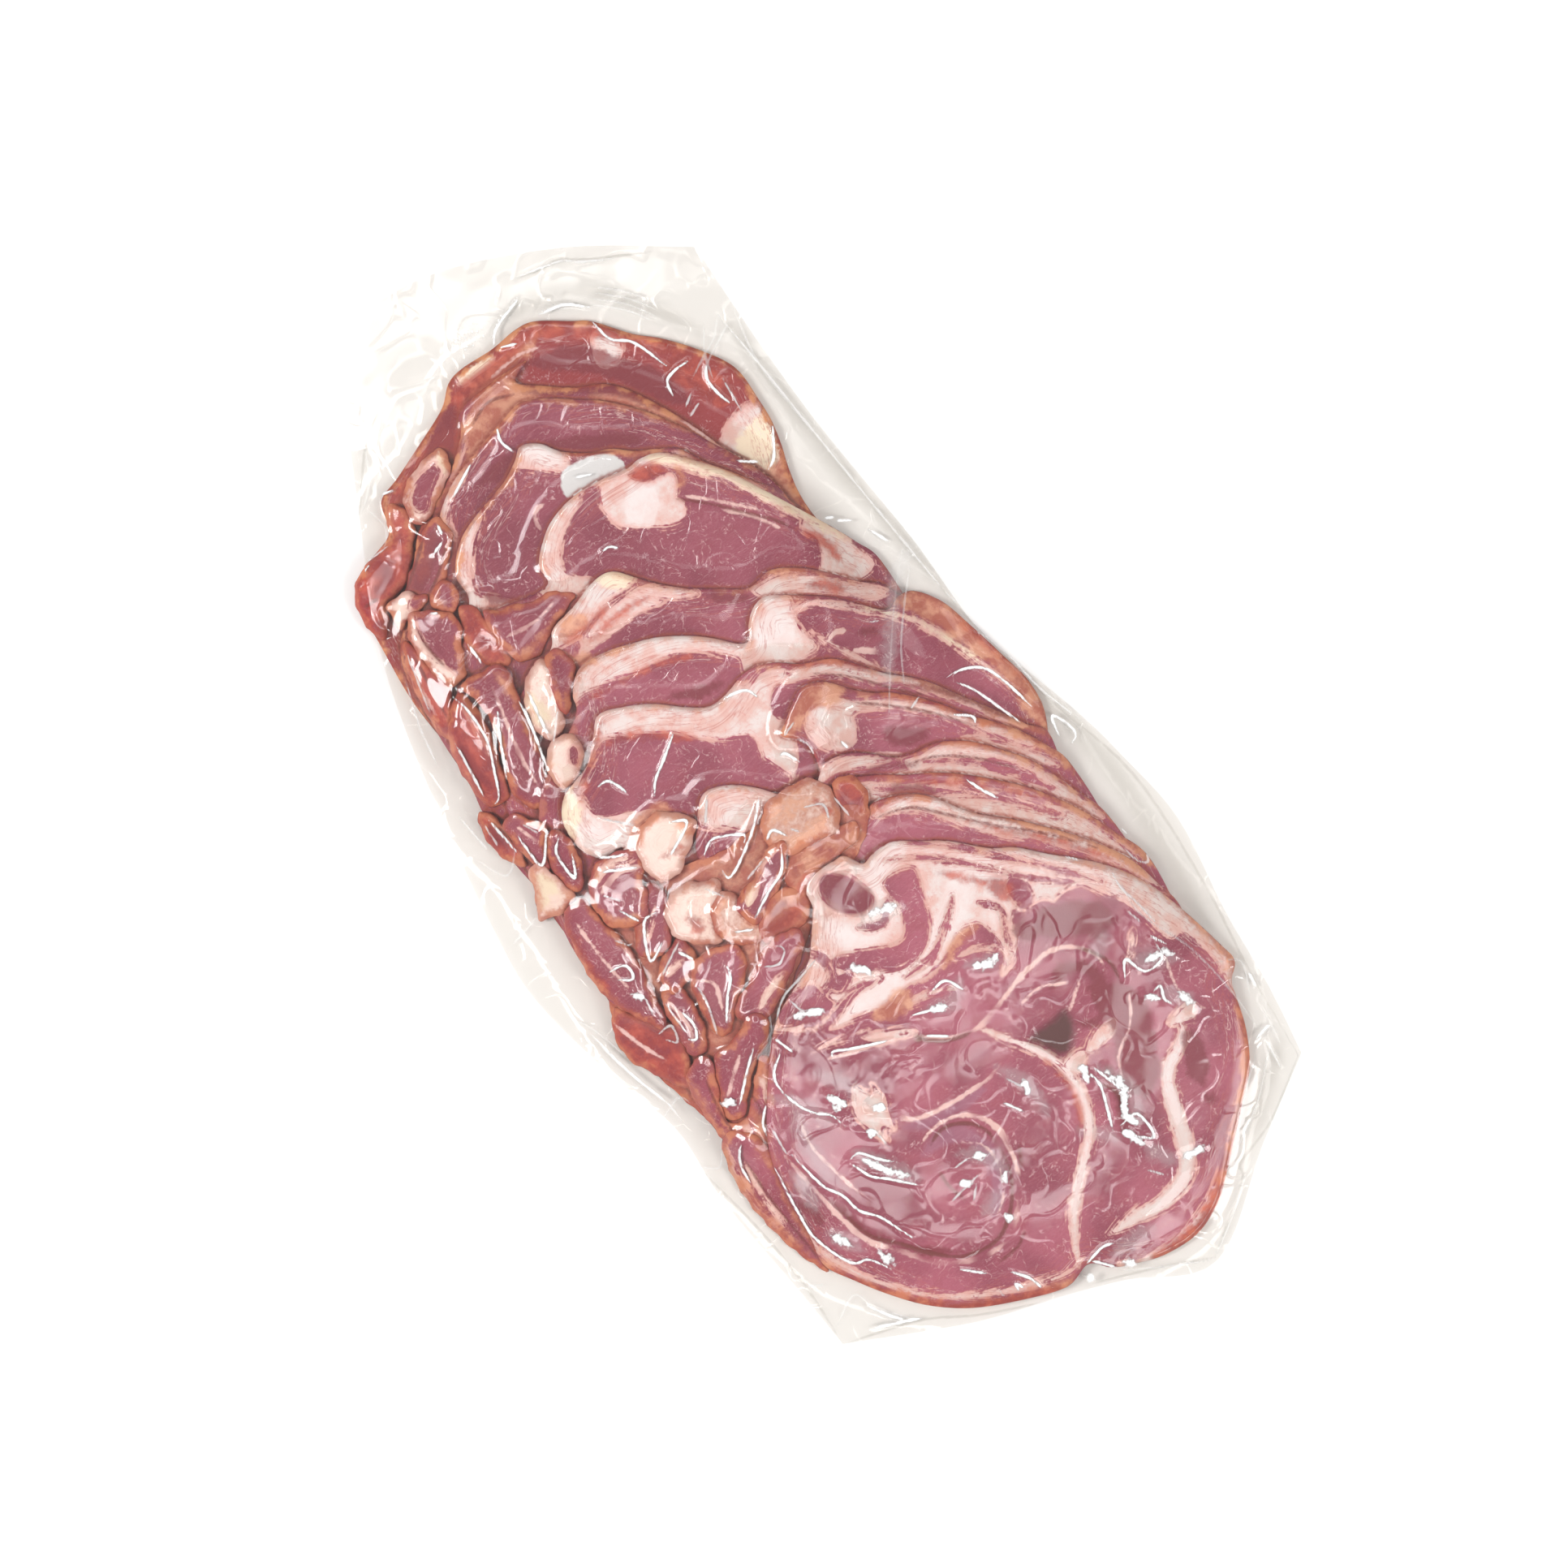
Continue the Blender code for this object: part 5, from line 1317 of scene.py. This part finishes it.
def paint(name, tissue, x, y, shift=(0.0, 0.0)):
    """Signed distances in millimetres to each kind of tissue, positive inside it."""
    kinds = {kind: np.full(x.shape, TISSUES.get(tissue, {}).get(kind, -CLAMP)) for kind in KINDS}
    for mark in PAINT.get(name, []):
        kind, half_width, points = mark if len(mark) == 3 else (mark[0], None, mark[1])
        patch = half_width is None
        line = smooth_curve(np.array(points, float) + shift, closed=patch)
        near = near_box(line, CLAMP + (half_width or 0), x, y)
        if not near.any():
            continue
        if patch:
            value = depth_inside(line, x[near], y[near])
        else:
            value = depth_in_band(line, half_width, x[near], y[near], *BAND_ENDS)
        value = np.clip(value, -CLAMP, CLAMP)
        if kind == "lean":
            kinds["fat"][near] = np.minimum(kinds["fat"][near], -value)
        else:
            kinds[kind][near] = np.maximum(kinds[kind][near], value)
    return kinds


def facing(at, faces, side):
    """The triangles wound so that they face up or down."""
    a, b, c = (at[faces[:, k]] for k in range(3))
    turn = (b[:, 0] - a[:, 0]) * (c[:, 1] - a[:, 1]) - (b[:, 1] - a[:, 1]) * (c[:, 0] - a[:, 0])
    wrong = turn * side < 0
    faces = faces.copy()
    faces[wrong] = faces[wrong][:, ::-1]
    return faces


def side_mesh(piece, outline, upper):
    """One side of a piece: its points in millimetres, its triangles and its tissue."""
    at, faces = triangulate(outline, side_points(piece, outline, upper))
    x, y = at.T
    depth = np.maximum(depth_inside(outline, x, y), 0)
    depth[:len(outline)] = 0
    base = read_field(piece.under, x, y)
    top, bottom = piece.thickness(depth)
    if upper:
        kinds = paint(piece.name, piece.tissue, x, y)
        relief = sum(height * step_up(kinds[kind], low, high) for kind, height, low, high in RELIEF)
        z = base + top + piece.tilt(x, y, depth) + relief * step_up(depth, *RELIEF_RIM)
    else:
        kinds = paint(PLAIN_SLICE, None, x, y, piece.middle - np.array(PATTERN_MIDDLE))
        z = base + bottom
    marks = dict(kinds, rim=np.minimum(depth, RIM_CLAMP))
    return np.column_stack([at, z]), facing(at, faces, 1 if upper else -1), marks


def mesh_object(name, points, faces, marks):
    """A smooth mesh over points in metres, with a number at each point for each mark."""
    mesh = bpy.data.meshes.new(name)
    mesh.vertices.add(len(points))
    mesh.vertices.foreach_set("co", points.ravel())
    mesh.loops.add(faces.size)
    mesh.loops.foreach_set("vertex_index", faces.ravel().astype(np.int32))
    mesh.polygons.add(len(faces))
    mesh.polygons.foreach_set("loop_start", np.arange(0, faces.size, faces.shape[1], dtype=np.int32))
    mesh.polygons.foreach_set("use_smooth", np.ones(len(faces), bool))
    mesh.update(calc_edges=True)
    for key, values in marks.items():
        mesh.attributes.new(key, "FLOAT", "POINT").data.foreach_set("value", values.ravel())
    obj = bpy.data.objects.new(name, mesh)
    bpy.context.collection.objects.link(obj)
    return obj


def piece_object(piece):
    """The closed body of a slice or a lobe: two sides that share the outline's points."""
    outline = resample(piece)
    count = len(outline)
    upper, upper_faces, upper_marks = side_mesh(piece, outline, True)
    lower, lower_faces, lower_marks = side_mesh(piece, outline, False)
    points = np.vstack([upper, lower[count:]]) * MM
    renumbered = np.arange(len(lower))
    renumbered[count:] += len(upper) - count
    marks = {key: np.concatenate([upper_marks[key], lower_marks[key][count:]]) for key in upper_marks}
    marks["hollow"] = read_field(piece.hollow, points[:, 0] / MM, points[:, 1] / MM)
    traits = dict(SLICE_TRAITS if piece.is_slice else LOBE_TRAITS)
    traits["tone"] = TONES.get(piece.name, traits["tone"])
    ahead = 0 if piece.is_slice else LOBE_DEEPER
    traits["deep"] = float(np.interp(piece.middle[1] + ahead, *DEEPER))
    for trait, value in traits.items():
        marks[trait] = np.full(len(points), value)
    return mesh_object(piece.name, points, np.vstack([upper_faces, renumbered[lower_faces]]), marks)


def edge_points(points, count):
    """Evenly spaced points along a smooth edge."""
    line = smooth_curve(points, closed=False)
    run = lengths_along(line)
    return points_at(np.linspace(0, run[-1], count), run, line)


def pouch_plan(across, along):
    """Plan positions of the pouch's grid points: a Coons patch between its four edges."""
    near, far = edge_points(EDGE_NEAR, across + 1), edge_points(EDGE_FAR, across + 1)
    left, right = edge_points(EDGE_LEFT, along + 1), edge_points(EDGE_RIGHT, along + 1)
    s = np.linspace(0, 1, across + 1)[None, :, None]
    t = np.linspace(0, 1, along + 1)[:, None, None]
    ruled = (1 - t) * near[None] + t * far[None] + (1 - s) * left[:, None] + s * right[:, None]
    corners = ((1 - s) * (1 - t) * near[0] + s * (1 - t) * near[-1] + (1 - s) * t * far[0]
               + s * t * far[-1])
    plan = ruled - corners
    low, high = plan.min(axis=(0, 1)), plan.max(axis=(0, 1))
    return (plan - (low + high) / 2) * (np.array([POUCH_WIDTH, POUCH_LENGTH]) / (high - low))


def margin_heights(x, y):
    """The free film round the contents, which lies in long soft waves."""
    turns = 2 * math.pi / MARGIN_WAVE
    lean_x, lean_y = MARGIN_LEANS
    return MARGIN_TOP + MARGIN_RISE * (np.sin(turns * (x + lean_x * y)) * np.sin(turns * (y - lean_y * x)))


def nearest_line(lines, half_width, reach, x, y):
    """How far each point is inside the nearest line's half width, which narrows to its ends."""
    mark = np.full(x.shape, -reach)
    for points in lines:
        line = smooth_curve(points, closed=False)
        near = near_box(line, reach, x, y)
        mark[near] = np.maximum(mark[near], depth_in_band(line, half_width, x[near], y[near], *LINE_ENDS))
    return mark


def film_field(ground, grid):
    """The drawn-down film: it bridges the hollows of the meat and falls to the margin round it."""
    wide = ground.copy()
    for axis in (0, 1):
        for way in (-1, 1):
            wide = np.maximum(wide, np.roll(ground, way, axis=axis))
    floor = np.maximum(wide, margin_heights(*grid))
    film = floor.copy()
    for _ in range(FILM_ROUNDS):
        film = np.maximum(floor, blur(film, 1, 1) - FILM_PULL)
    film = blur(film, 1, 1) + FILM_GAP
    for height, width, lines in CREASE_SIZES:
        reach = CREASE_REACH * width
        away = nearest_line(lines, 0.0, reach, *grid)
        film += height * np.exp(-(away / width) ** 2) * (away > -reach)
    return film


def sheet_object(name, plan, heights, flip=False, marks=None):
    """A sheet over a grid of plan points, with the marks as attributes."""
    rows, cols = plan.shape[:2]
    at = np.arange(rows * cols).reshape(rows, cols)
    quads = np.stack([at[:-1, :-1], at[:-1, 1:], at[1:, 1:], at[1:, :-1]], axis=-1).reshape(-1, 4)
    if flip:
        quads = quads[:, ::-1]
    points = np.concatenate([plan, heights[..., None]], axis=-1).reshape(-1, 3) * MM
    return mesh_object(name, points, quads, marks or {})


def film_objects(ground, grid):
    """The top film in two halves and the film underneath."""
    film = film_field(ground, grid)
    plan = pouch_plan(FILM_ACROSS, FILM_ALONG)
    x, y = plan[..., 0], plan[..., 1]
    heights = read_field(film, x, y)
    marks = {}
    for kind, half_width, lines in MARK_SIZES:
        mark = nearest_line(lines, half_width, MARK_REACH, x, y)
        marks[kind] = np.maximum(mark, marks.get(kind, mark))
    half = FILM_ALONG // 2
    made = []
    for name, rows in (("film_top_near", slice(0, half + 1)), ("film_top_far", slice(half, None))):
        here = {key: values[rows] for key, values in marks.items()}
        made.append(sheet_object(name, plan[rows], heights[rows], marks=here))
    plan = pouch_plan(UNDER_ACROSS, UNDER_ALONG)
    unmarked = {kind: np.full(plan.shape[:2], -MARK_REACH) for kind in marks}
    made.append(sheet_object("film_under", plan, np.full(plan.shape[:2], UNDER_HEIGHT), True, unmarked))
    return made


class Nodes:
    """Short ways to add and join shader nodes."""

    def __init__(self, name):
        self.material = bpy.data.materials.new(name)
        self.material.use_nodes = True
        self.tree = self.material.node_tree
        self.tree.nodes.clear()

    def put(self, node, key, value):
        """A link where the value comes from another node, or else a value of the socket's own."""
        if isinstance(value, bpy.types.NodeSocket):
            self.tree.links.new(value, node.inputs[key])
        else:
            node.inputs[key].default_value = value

    def add(self, kind, values=None, **settings):
        node = self.tree.nodes.new(kind)
        for key, value in settings.items():
            setattr(node, key, value)
        for key, value in (values or {}).items():
            self.put(node, key, value)
        return node

    def finish(self, surface):
        self.add("ShaderNodeOutputMaterial", {"Surface": surface.outputs[0]})
        return self.material

    def object_place(self, scale=1.0):
        """The place on the object as it was modelled, in metres times a scale."""
        place = self.add("ShaderNodeTexCoord").outputs["Object"]
        return self.add("ShaderNodeVectorMath", {0: place, 3: scale}, operation="SCALE").outputs[0]

    def math(self, how, a, b=0.0):
        return self.add("ShaderNodeMath", {0: a, 1: b}, operation=how).outputs[0]

    def times(self, a, b):
        return self.math("MULTIPLY", a, b)

    def plus(self, a, b):
        return self.math("ADD", a, b)

    def swing(self, field, size):
        """A noise moved to lie evenly round nought, at a size."""
        return self.times(self.math("SUBTRACT", field, 0.5), size)

    def ramp(self, value, low, high, to_low=0.0, to_high=1.0):
        return self.add("ShaderNodeMapRange", {"Value": value, "From Min": low, "From Max": high,
                                               "To Min": to_low, "To Max": to_high},
                        interpolation_type="SMOOTHSTEP").outputs[0]

    def ridge(self, field, middle, width):
        """1 where a field has its middle value, and 0 from a width away from it."""
        away = self.math("ABSOLUTE", self.math("SUBTRACT", field, middle))
        return self.ramp(away, width, 0.0)

    def mix(self, share, a, b):
        """One colour turned into another by a share. A colour is a link or what a screen shows."""
        node = self.add("ShaderNodeMix", {0: share}, data_type="RGBA")
        for key, value in ((6, a), (7, b)):
            self.put(node, key, colour(value) if isinstance(value, tuple) else value)
        return node.outputs[2]

    def over(self, body, area, share, rgb):
        """A colour laid over the body by a share where an area shows."""
        return self.mix(self.times(area, share), body, rgb)

    def noise(self, where, scale, detail=2.0, rough=0.5, warp=0.0):
        return self.add("ShaderNodeTexNoise", {"Vector": where, "Scale": scale, "Detail": detail,
                                               "Roughness": rough, "Distortion": warp}).outputs["Fac"]

    def attribute(self, name):
        return self.add("ShaderNodeAttribute", attribute_name=name).outputs["Fac"]

    def stretched(self, where, scale, turn):
        return self.add("ShaderNodeMapping", {"Vector": where, "Scale": scale,
                                              "Rotation": (0, 0, math.radians(turn))}).outputs[0]

    def slid(self, where, field, size):
        """The place moved along x by a field, so that a noise there follows the field's contours."""
        along = self.add("ShaderNodeCombineXYZ", {0: self.times(field, size)}).outputs[0]
        return self.add("ShaderNodeVectorMath", {0: where, 1: along}, operation="ADD").outputs[0]


def colour(rgb):
    """A colour given as it looks on a screen, 0 to 255, in the renderer's linear values."""
    if len(rgb) == 4:
        return rgb
    parts = [c / 255 for c in rgb]
    return tuple(c / 12.92 if c <= 0.04045 else ((c + 0.055) / 1.055) ** 2.4 for c in parts) + (1.0,)


def meat_material(name):
    """Lean, fat and rind, told apart by the mesh's attributes and broken up by noises."""
    n = Nodes(name)
    mm = n.object_place(1 / MM)
    fields = {kind: n.noise(mm, *MEAT_NOISES[kind]) for kind in ("cloud", "patchy", "fine", "grain")}
    fields["fibre"] = n.noise(n.stretched(mm, FIBRE_STRETCH, FIBRE_TURN), *MEAT_NOISES["fibre"])
    fields["tone"] = n.attribute("tone")
    cloud, patchy, fine, tone = (fields[kind] for kind in ("cloud", "patchy", "fine", "tone"))
    rim_depth, whole_layers = n.attribute("rim"), n.attribute("layered")
    ragged = n.plus(*(n.swing(fields[kind], size) for kind, size in RAGGED.items()))

    def area(kind):
        soft, shift, rough = AREAS[kind]
        return n.ramp(n.plus(n.attribute(kind), n.times(ragged, rough)), shift - soft, shift + soft)

    def laid(body, pattern, low, high, share, rgb):
        return n.over(body, n.ramp(fields[pattern], low, high), share, rgb)

    lean = n.mix(n.ramp(cloud, *CLOUD_EDGES), *LEAN)
    lean = laid(lean, *LEAN_PATCHES)
    lean = n.mix(n.attribute("deep"), lean, DEEP_LEAN)
    for layer in LEAN_LAYERS:
        lean = laid(lean, *layer)
    veins = n.ridge(n.noise(mm, *MEAT_NOISES["veins"]), 0.5, VEIN_WIDTH)
    lean = n.over(lean, n.times(veins, n.ramp(fine, *VEIN_EDGES)), VEIN_SHARE, VEIN)

    fat = n.mix(n.ramp(patchy, *FAT_EDGES), *SLICE_FAT)
    fat = n.mix(n.ramp(whole_layers, *LOBE_FAT_EDGES), fat, n.mix(patchy, *LOBE_FAT))
    blood = n.ridge(n.noise(mm, *MEAT_NOISES["blood"]), 0.5, BLOOD_WIDTH)
    fat = n.over(fat, n.times(blood, n.ramp(cloud, *BLOOD_EDGES)), BLOOD_SHARE, BLOOD)
    fat = n.mix(area("gold"), fat, GOLD)
    fat = n.over(fat, area("white"), WHITE_SHARE, WHITE)

    # Fat in thin layers that follow its edges
    fat_depth = n.attribute("fat")
    streaks = n.math("SUBTRACT", n.noise(n.slid(mm, fat_depth, STREAK_SLIDE), *MEAT_NOISES["streaks"]), 0.5)
    fatty = n.plus(n.plus(fat_depth, ragged), n.times(streaks, STREAK_SIZE))
    body = n.mix(n.ramp(fatty, *FAT_MEETS), lean, fat)
    layers = n.noise(n.slid(mm, rim_depth, LAYER_SLIDE), *MEAT_NOISES["layers"])
    near_rim = n.times(n.ramp(rim_depth, *THREADS_END), n.ramp(rim_depth, *THREADS_START))
    near_rim = n.times(near_rim, whole_layers)
    for middle, width, share, rgb in THREADS:
        body = n.over(body, n.times(n.ridge(layers, middle, width), near_rim), share, rgb)
    blush = n.times(n.ramp(fatty, *BLUSH_EDGES[0]), n.ramp(streaks, *BLUSH_STREAKS))
    body = n.over(body, blush, n.ramp(fatty, *BLUSH_EDGES[1]), BLUSH)
    body = n.over(body, n.ridge(fatty, 0.0, FRINGE_WIDTH), FRINGE_SHARE, FRINGE)

    for kind, share, edges, colours in PATCHED:
        body = n.over(body, area(kind), share, n.mix(n.ramp(patchy, *edges), *colours))
    # The dark stain is partly darker tissue and partly painted shade
    for kind, share, rgb in STAINS:
        body = n.over(body, area(kind), share, rgb)
    faded = n.ramp(n.noise(mm, *MEAT_NOISES["faded"]), *SEAM_FADES)
    body = n.over(body, area("seam"), faded, SEAM)
    body = n.mix(area("cartilage"), body, CARTILAGE)

    patches = n.plus(n.noise(mm, *MEAT_NOISES["rind"]), n.times(tone, RIND_TONE))
    rind_depth = n.math("SUBTRACT", n.times(ragged, RIND_RAGGED), rim_depth)
    rind = n.times(n.ramp(rind_depth, *RIND_DEPTHS), n.ramp(patches, *RIND_PATCHES))
    body = n.over(body, rind, tone, n.mix(n.ramp(patchy, *RIND_EDGES), *RIND))
    near_edge = n.math("SUBTRACT", rim_depth, n.times(ragged, GLAZE_RAGGED))
    body = n.over(body, n.attribute("glaze"), n.ramp(near_edge, *GLAZE_RAMP), GLAZE)
    # Painted shade in the hollows, darkest where the top lies deepest below its surroundings
    hollow_shade = n.plus(n.attribute("hollow"), n.times(ragged, HOLLOW_SHADE_RAGGED))
    for low, high, share, rgb in HOLLOW_SHADES:
        body = n.over(body, n.ramp(hollow_shade, low, high), share, rgb)
    body = n.over(body, area("gap"), GAP_SHARE, GAP)
    # Painted shade inside a hole
    body = n.mix(area("hole"), body, HOLE_SHADE)

    bump = 0.0
    for kind, size in MEAT_BUMPS.items():
        bump = n.plus(n.times(fields[kind], size), bump)
    normal = n.add("ShaderNodeBump", {"Height": bump, **MEAT_BUMP}).outputs[0]
    shade = n.add("ShaderNodeBsdfPrincipled", {"Base Color": body, "Normal": normal})
    shade.inputs["Roughness"].default_value = MEAT_ROUGHNESS
    shade.inputs["Specular IOR Level"].default_value = MEAT_SPECULAR
    return n.finish(shade)


def film_material(name):
    """Clear film: see-through, mirroring more the flatter it is seen, with painted highlights and sheens in
    white along its creases and blisters, and darker where it lies doubled, which on the right margin is also
    painted shadow.
    """
    n = Nodes(name)
    mm = n.object_place(1 / MM)
    fold = n.ridge(n.noise(mm, *FILM_FOLD), 0.5, FOLD_WIDTH)
    height = n.plus(n.noise(mm, *FILM_BROAD), n.times(fold, FOLD_SHARE))
    normal = n.add("ShaderNodeBump", {"Height": height, **FILM_BUMP}).outputs[0]
    swell = n.noise(mm, *FILM_SWELL)

    def drawn(kind):
        soft, uneven, share = FILM_MARKS[kind]
        return n.times(n.ramp(n.plus(n.attribute(kind), n.swing(swell, uneven)), -soft, soft), share)

    def most(shares):
        found = 0.0
        for share in shares:
            found = n.math("MAXIMUM", share, found)
        return found

    # Darker tint where the film lies doubled at its edges and folds, and painted shadow on the right margin
    tint = n.mix(most(drawn(kind) for kind in DOUBLING_AND_SHADING_MARKS), FILM_TINT, DOUBLED_AND_SHADED_TINT)
    clear = n.add("ShaderNodeBsdfTransparent", {"Color": tint})
    gloss = n.add("ShaderNodeBsdfGlossy", {"Normal": normal})
    gloss.inputs["Roughness"].default_value = FILM_ROUGHNESS
    # The white of the haze and of the painted highlights is lit as if it faced straight up, so the highlights
    # show bright on any slope
    upward = n.add("ShaderNodeCombineXYZ", {2: 1.0}).outputs[0]
    haze_and_highlight = n.add("ShaderNodeBsdfDiffuse", {"Color": HAZE_AND_HIGHLIGHT_WHITE, "Normal": upward})
    spots = n.add("ShaderNodeTexVoronoi", {"Vector": mm, "Scale": DOT_SCALE}).outputs["Distance"]
    dots = n.times(n.ramp(spots, *DOT_EDGES), drawn("dots"))
    # Share of white: the seal's dots, the painted highlights and sheens, and the film's own haze
    white = most([dots, *(drawn(kind) for kind in HIGHLIGHT_MARKS), FILM_HAZE])
    body = n.add("ShaderNodeMixShader", {0: white, 1: clear.outputs[0], 2: haze_and_highlight.outputs[0]})
    facing_away = n.add("ShaderNodeLayerWeight", {"Normal": normal})
    facing_away.inputs["Blend"].default_value = FACING_BLEND
    steep = n.math("POWER", facing_away.outputs["Facing"], FACING_POWER)
    mirror = n.plus(n.times(steep, MIRROR_RANGE), MIRROR_LEAST)
    return n.finish(n.add("ShaderNodeMixShader", {0: mirror, 1: body.outputs[0], 2: gloss.outputs[0]}))


def floor_material(name):
    """A pale floor, faintly mottled."""
    n = Nodes(name)
    mottle = n.noise(n.object_place(), FLOOR_MOTTLE)
    return n.finish(n.add("ShaderNodeBsdfDiffuse", {"Color": n.mix(mottle, *FLOOR_COLOURS)}))


def add_light(name, azimuth, tilt, distance, size, power):
    """A round soft light that looks at the pack's middle from a side and a tilt off the zenith."""
    data = bpy.data.lights.new(name, "AREA")
    data.shape = "DISK"
    data.size, data.energy = size, power
    lamp = bpy.data.objects.new(name, data)
    bpy.context.collection.objects.link(lamp)
    a, t = math.radians(azimuth), math.radians(tilt)
    away = Vector((math.cos(a) * math.sin(t), math.sin(a) * math.sin(t), math.cos(t)))
    lamp.location = away * distance
    lamp.rotation_euler = away.to_track_quat("Z", "Y").to_euler()
    return lamp


def ring_lights():
    """Strip lamps in a ring overhead, of uneven strength, which show only in what shines."""
    count = len(RING_SHARES)
    length = 2 * RING_DISTANCE * math.sin(math.radians(RING_TILT)) * math.tan(math.pi / count)
    for k, share in enumerate(RING_SHARES):
        turn = 360.0 * k / count
        tilt = RING_TILT + RING_LEAN * math.cos(math.radians(turn - RING_LEAN_FROM))
        lamp = add_light("strip_%02d" % k, turn, tilt, RING_DISTANCE, RING_WIDTH, RING_POWER * share)
        lamp.visible_diffuse = False
        lamp.data.shape = "RECTANGLE"
        lamp.data.size_y = length
        away = lamp.location.normalized()
        across = Vector((0, 0, 1)).cross(away).normalized()
        lamp.rotation_euler = Matrix((away.cross(across) * -1, across, away)).transposed().to_euler()


def studio_world(name):
    """White light from all round."""
    world = bpy.data.worlds.new(name)
    world.use_nodes = True
    back = world.node_tree.nodes["Background"]
    back.inputs[0].default_value = (1, 1, 1, 1)
    back.inputs[1].default_value = WORLD_LIGHT
    return world


def stage():
    """The pale floor, the soft lights and the camera that looks straight down."""
    axis = np.linspace(-FLOOR_REACH, FLOOR_REACH, FLOOR_POINTS)
    plan = np.stack(np.meshgrid(axis, axis), axis=-1)
    floor = sheet_object("floor", plan, np.full(plan.shape[:2], FLOOR_HEIGHT))
    floor.data.materials.append(floor_material("white_floor"))

    scene = bpy.context.scene
    scene.world = studio_world("studio")
    for light in LIGHTS:
        add_light(*light)
    ring_lights()

    camera = bpy.data.cameras.new("camera")
    camera.lens = CAMERA_LENS
    camera.sensor_width = CAMERA_SENSOR
    viewer = bpy.data.objects.new("camera", camera)
    bpy.context.collection.objects.link(viewer)
    right, up = (Vector(way).normalized() for way in (CAMERA_RIGHT, CAMERA_UP))
    turn = Matrix((right, up, Vector((0, 0, 1)))).transposed()
    viewer.matrix_world = Matrix.Translation(CAMERA_PLACE) @ turn.to_4x4()
    scene.camera = viewer
    scene.view_settings.view_transform = "Standard"


def main():
    grid = grid_axes()
    pieces = all_pieces(grid)
    ground = drape(pieces, grid)
    slices = meat_material("lamb")
    for piece in pieces:
        obj = piece_object(piece)
        obj.data.materials.append(slices)
        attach(obj, "root")
        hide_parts("sealed_bag")
    clear = film_material("clear_film")
    for obj in film_objects(ground, grid):
        obj.data.materials.append(clear)
        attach(obj, "root")
        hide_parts("sealed_bag")
    stage()


main()
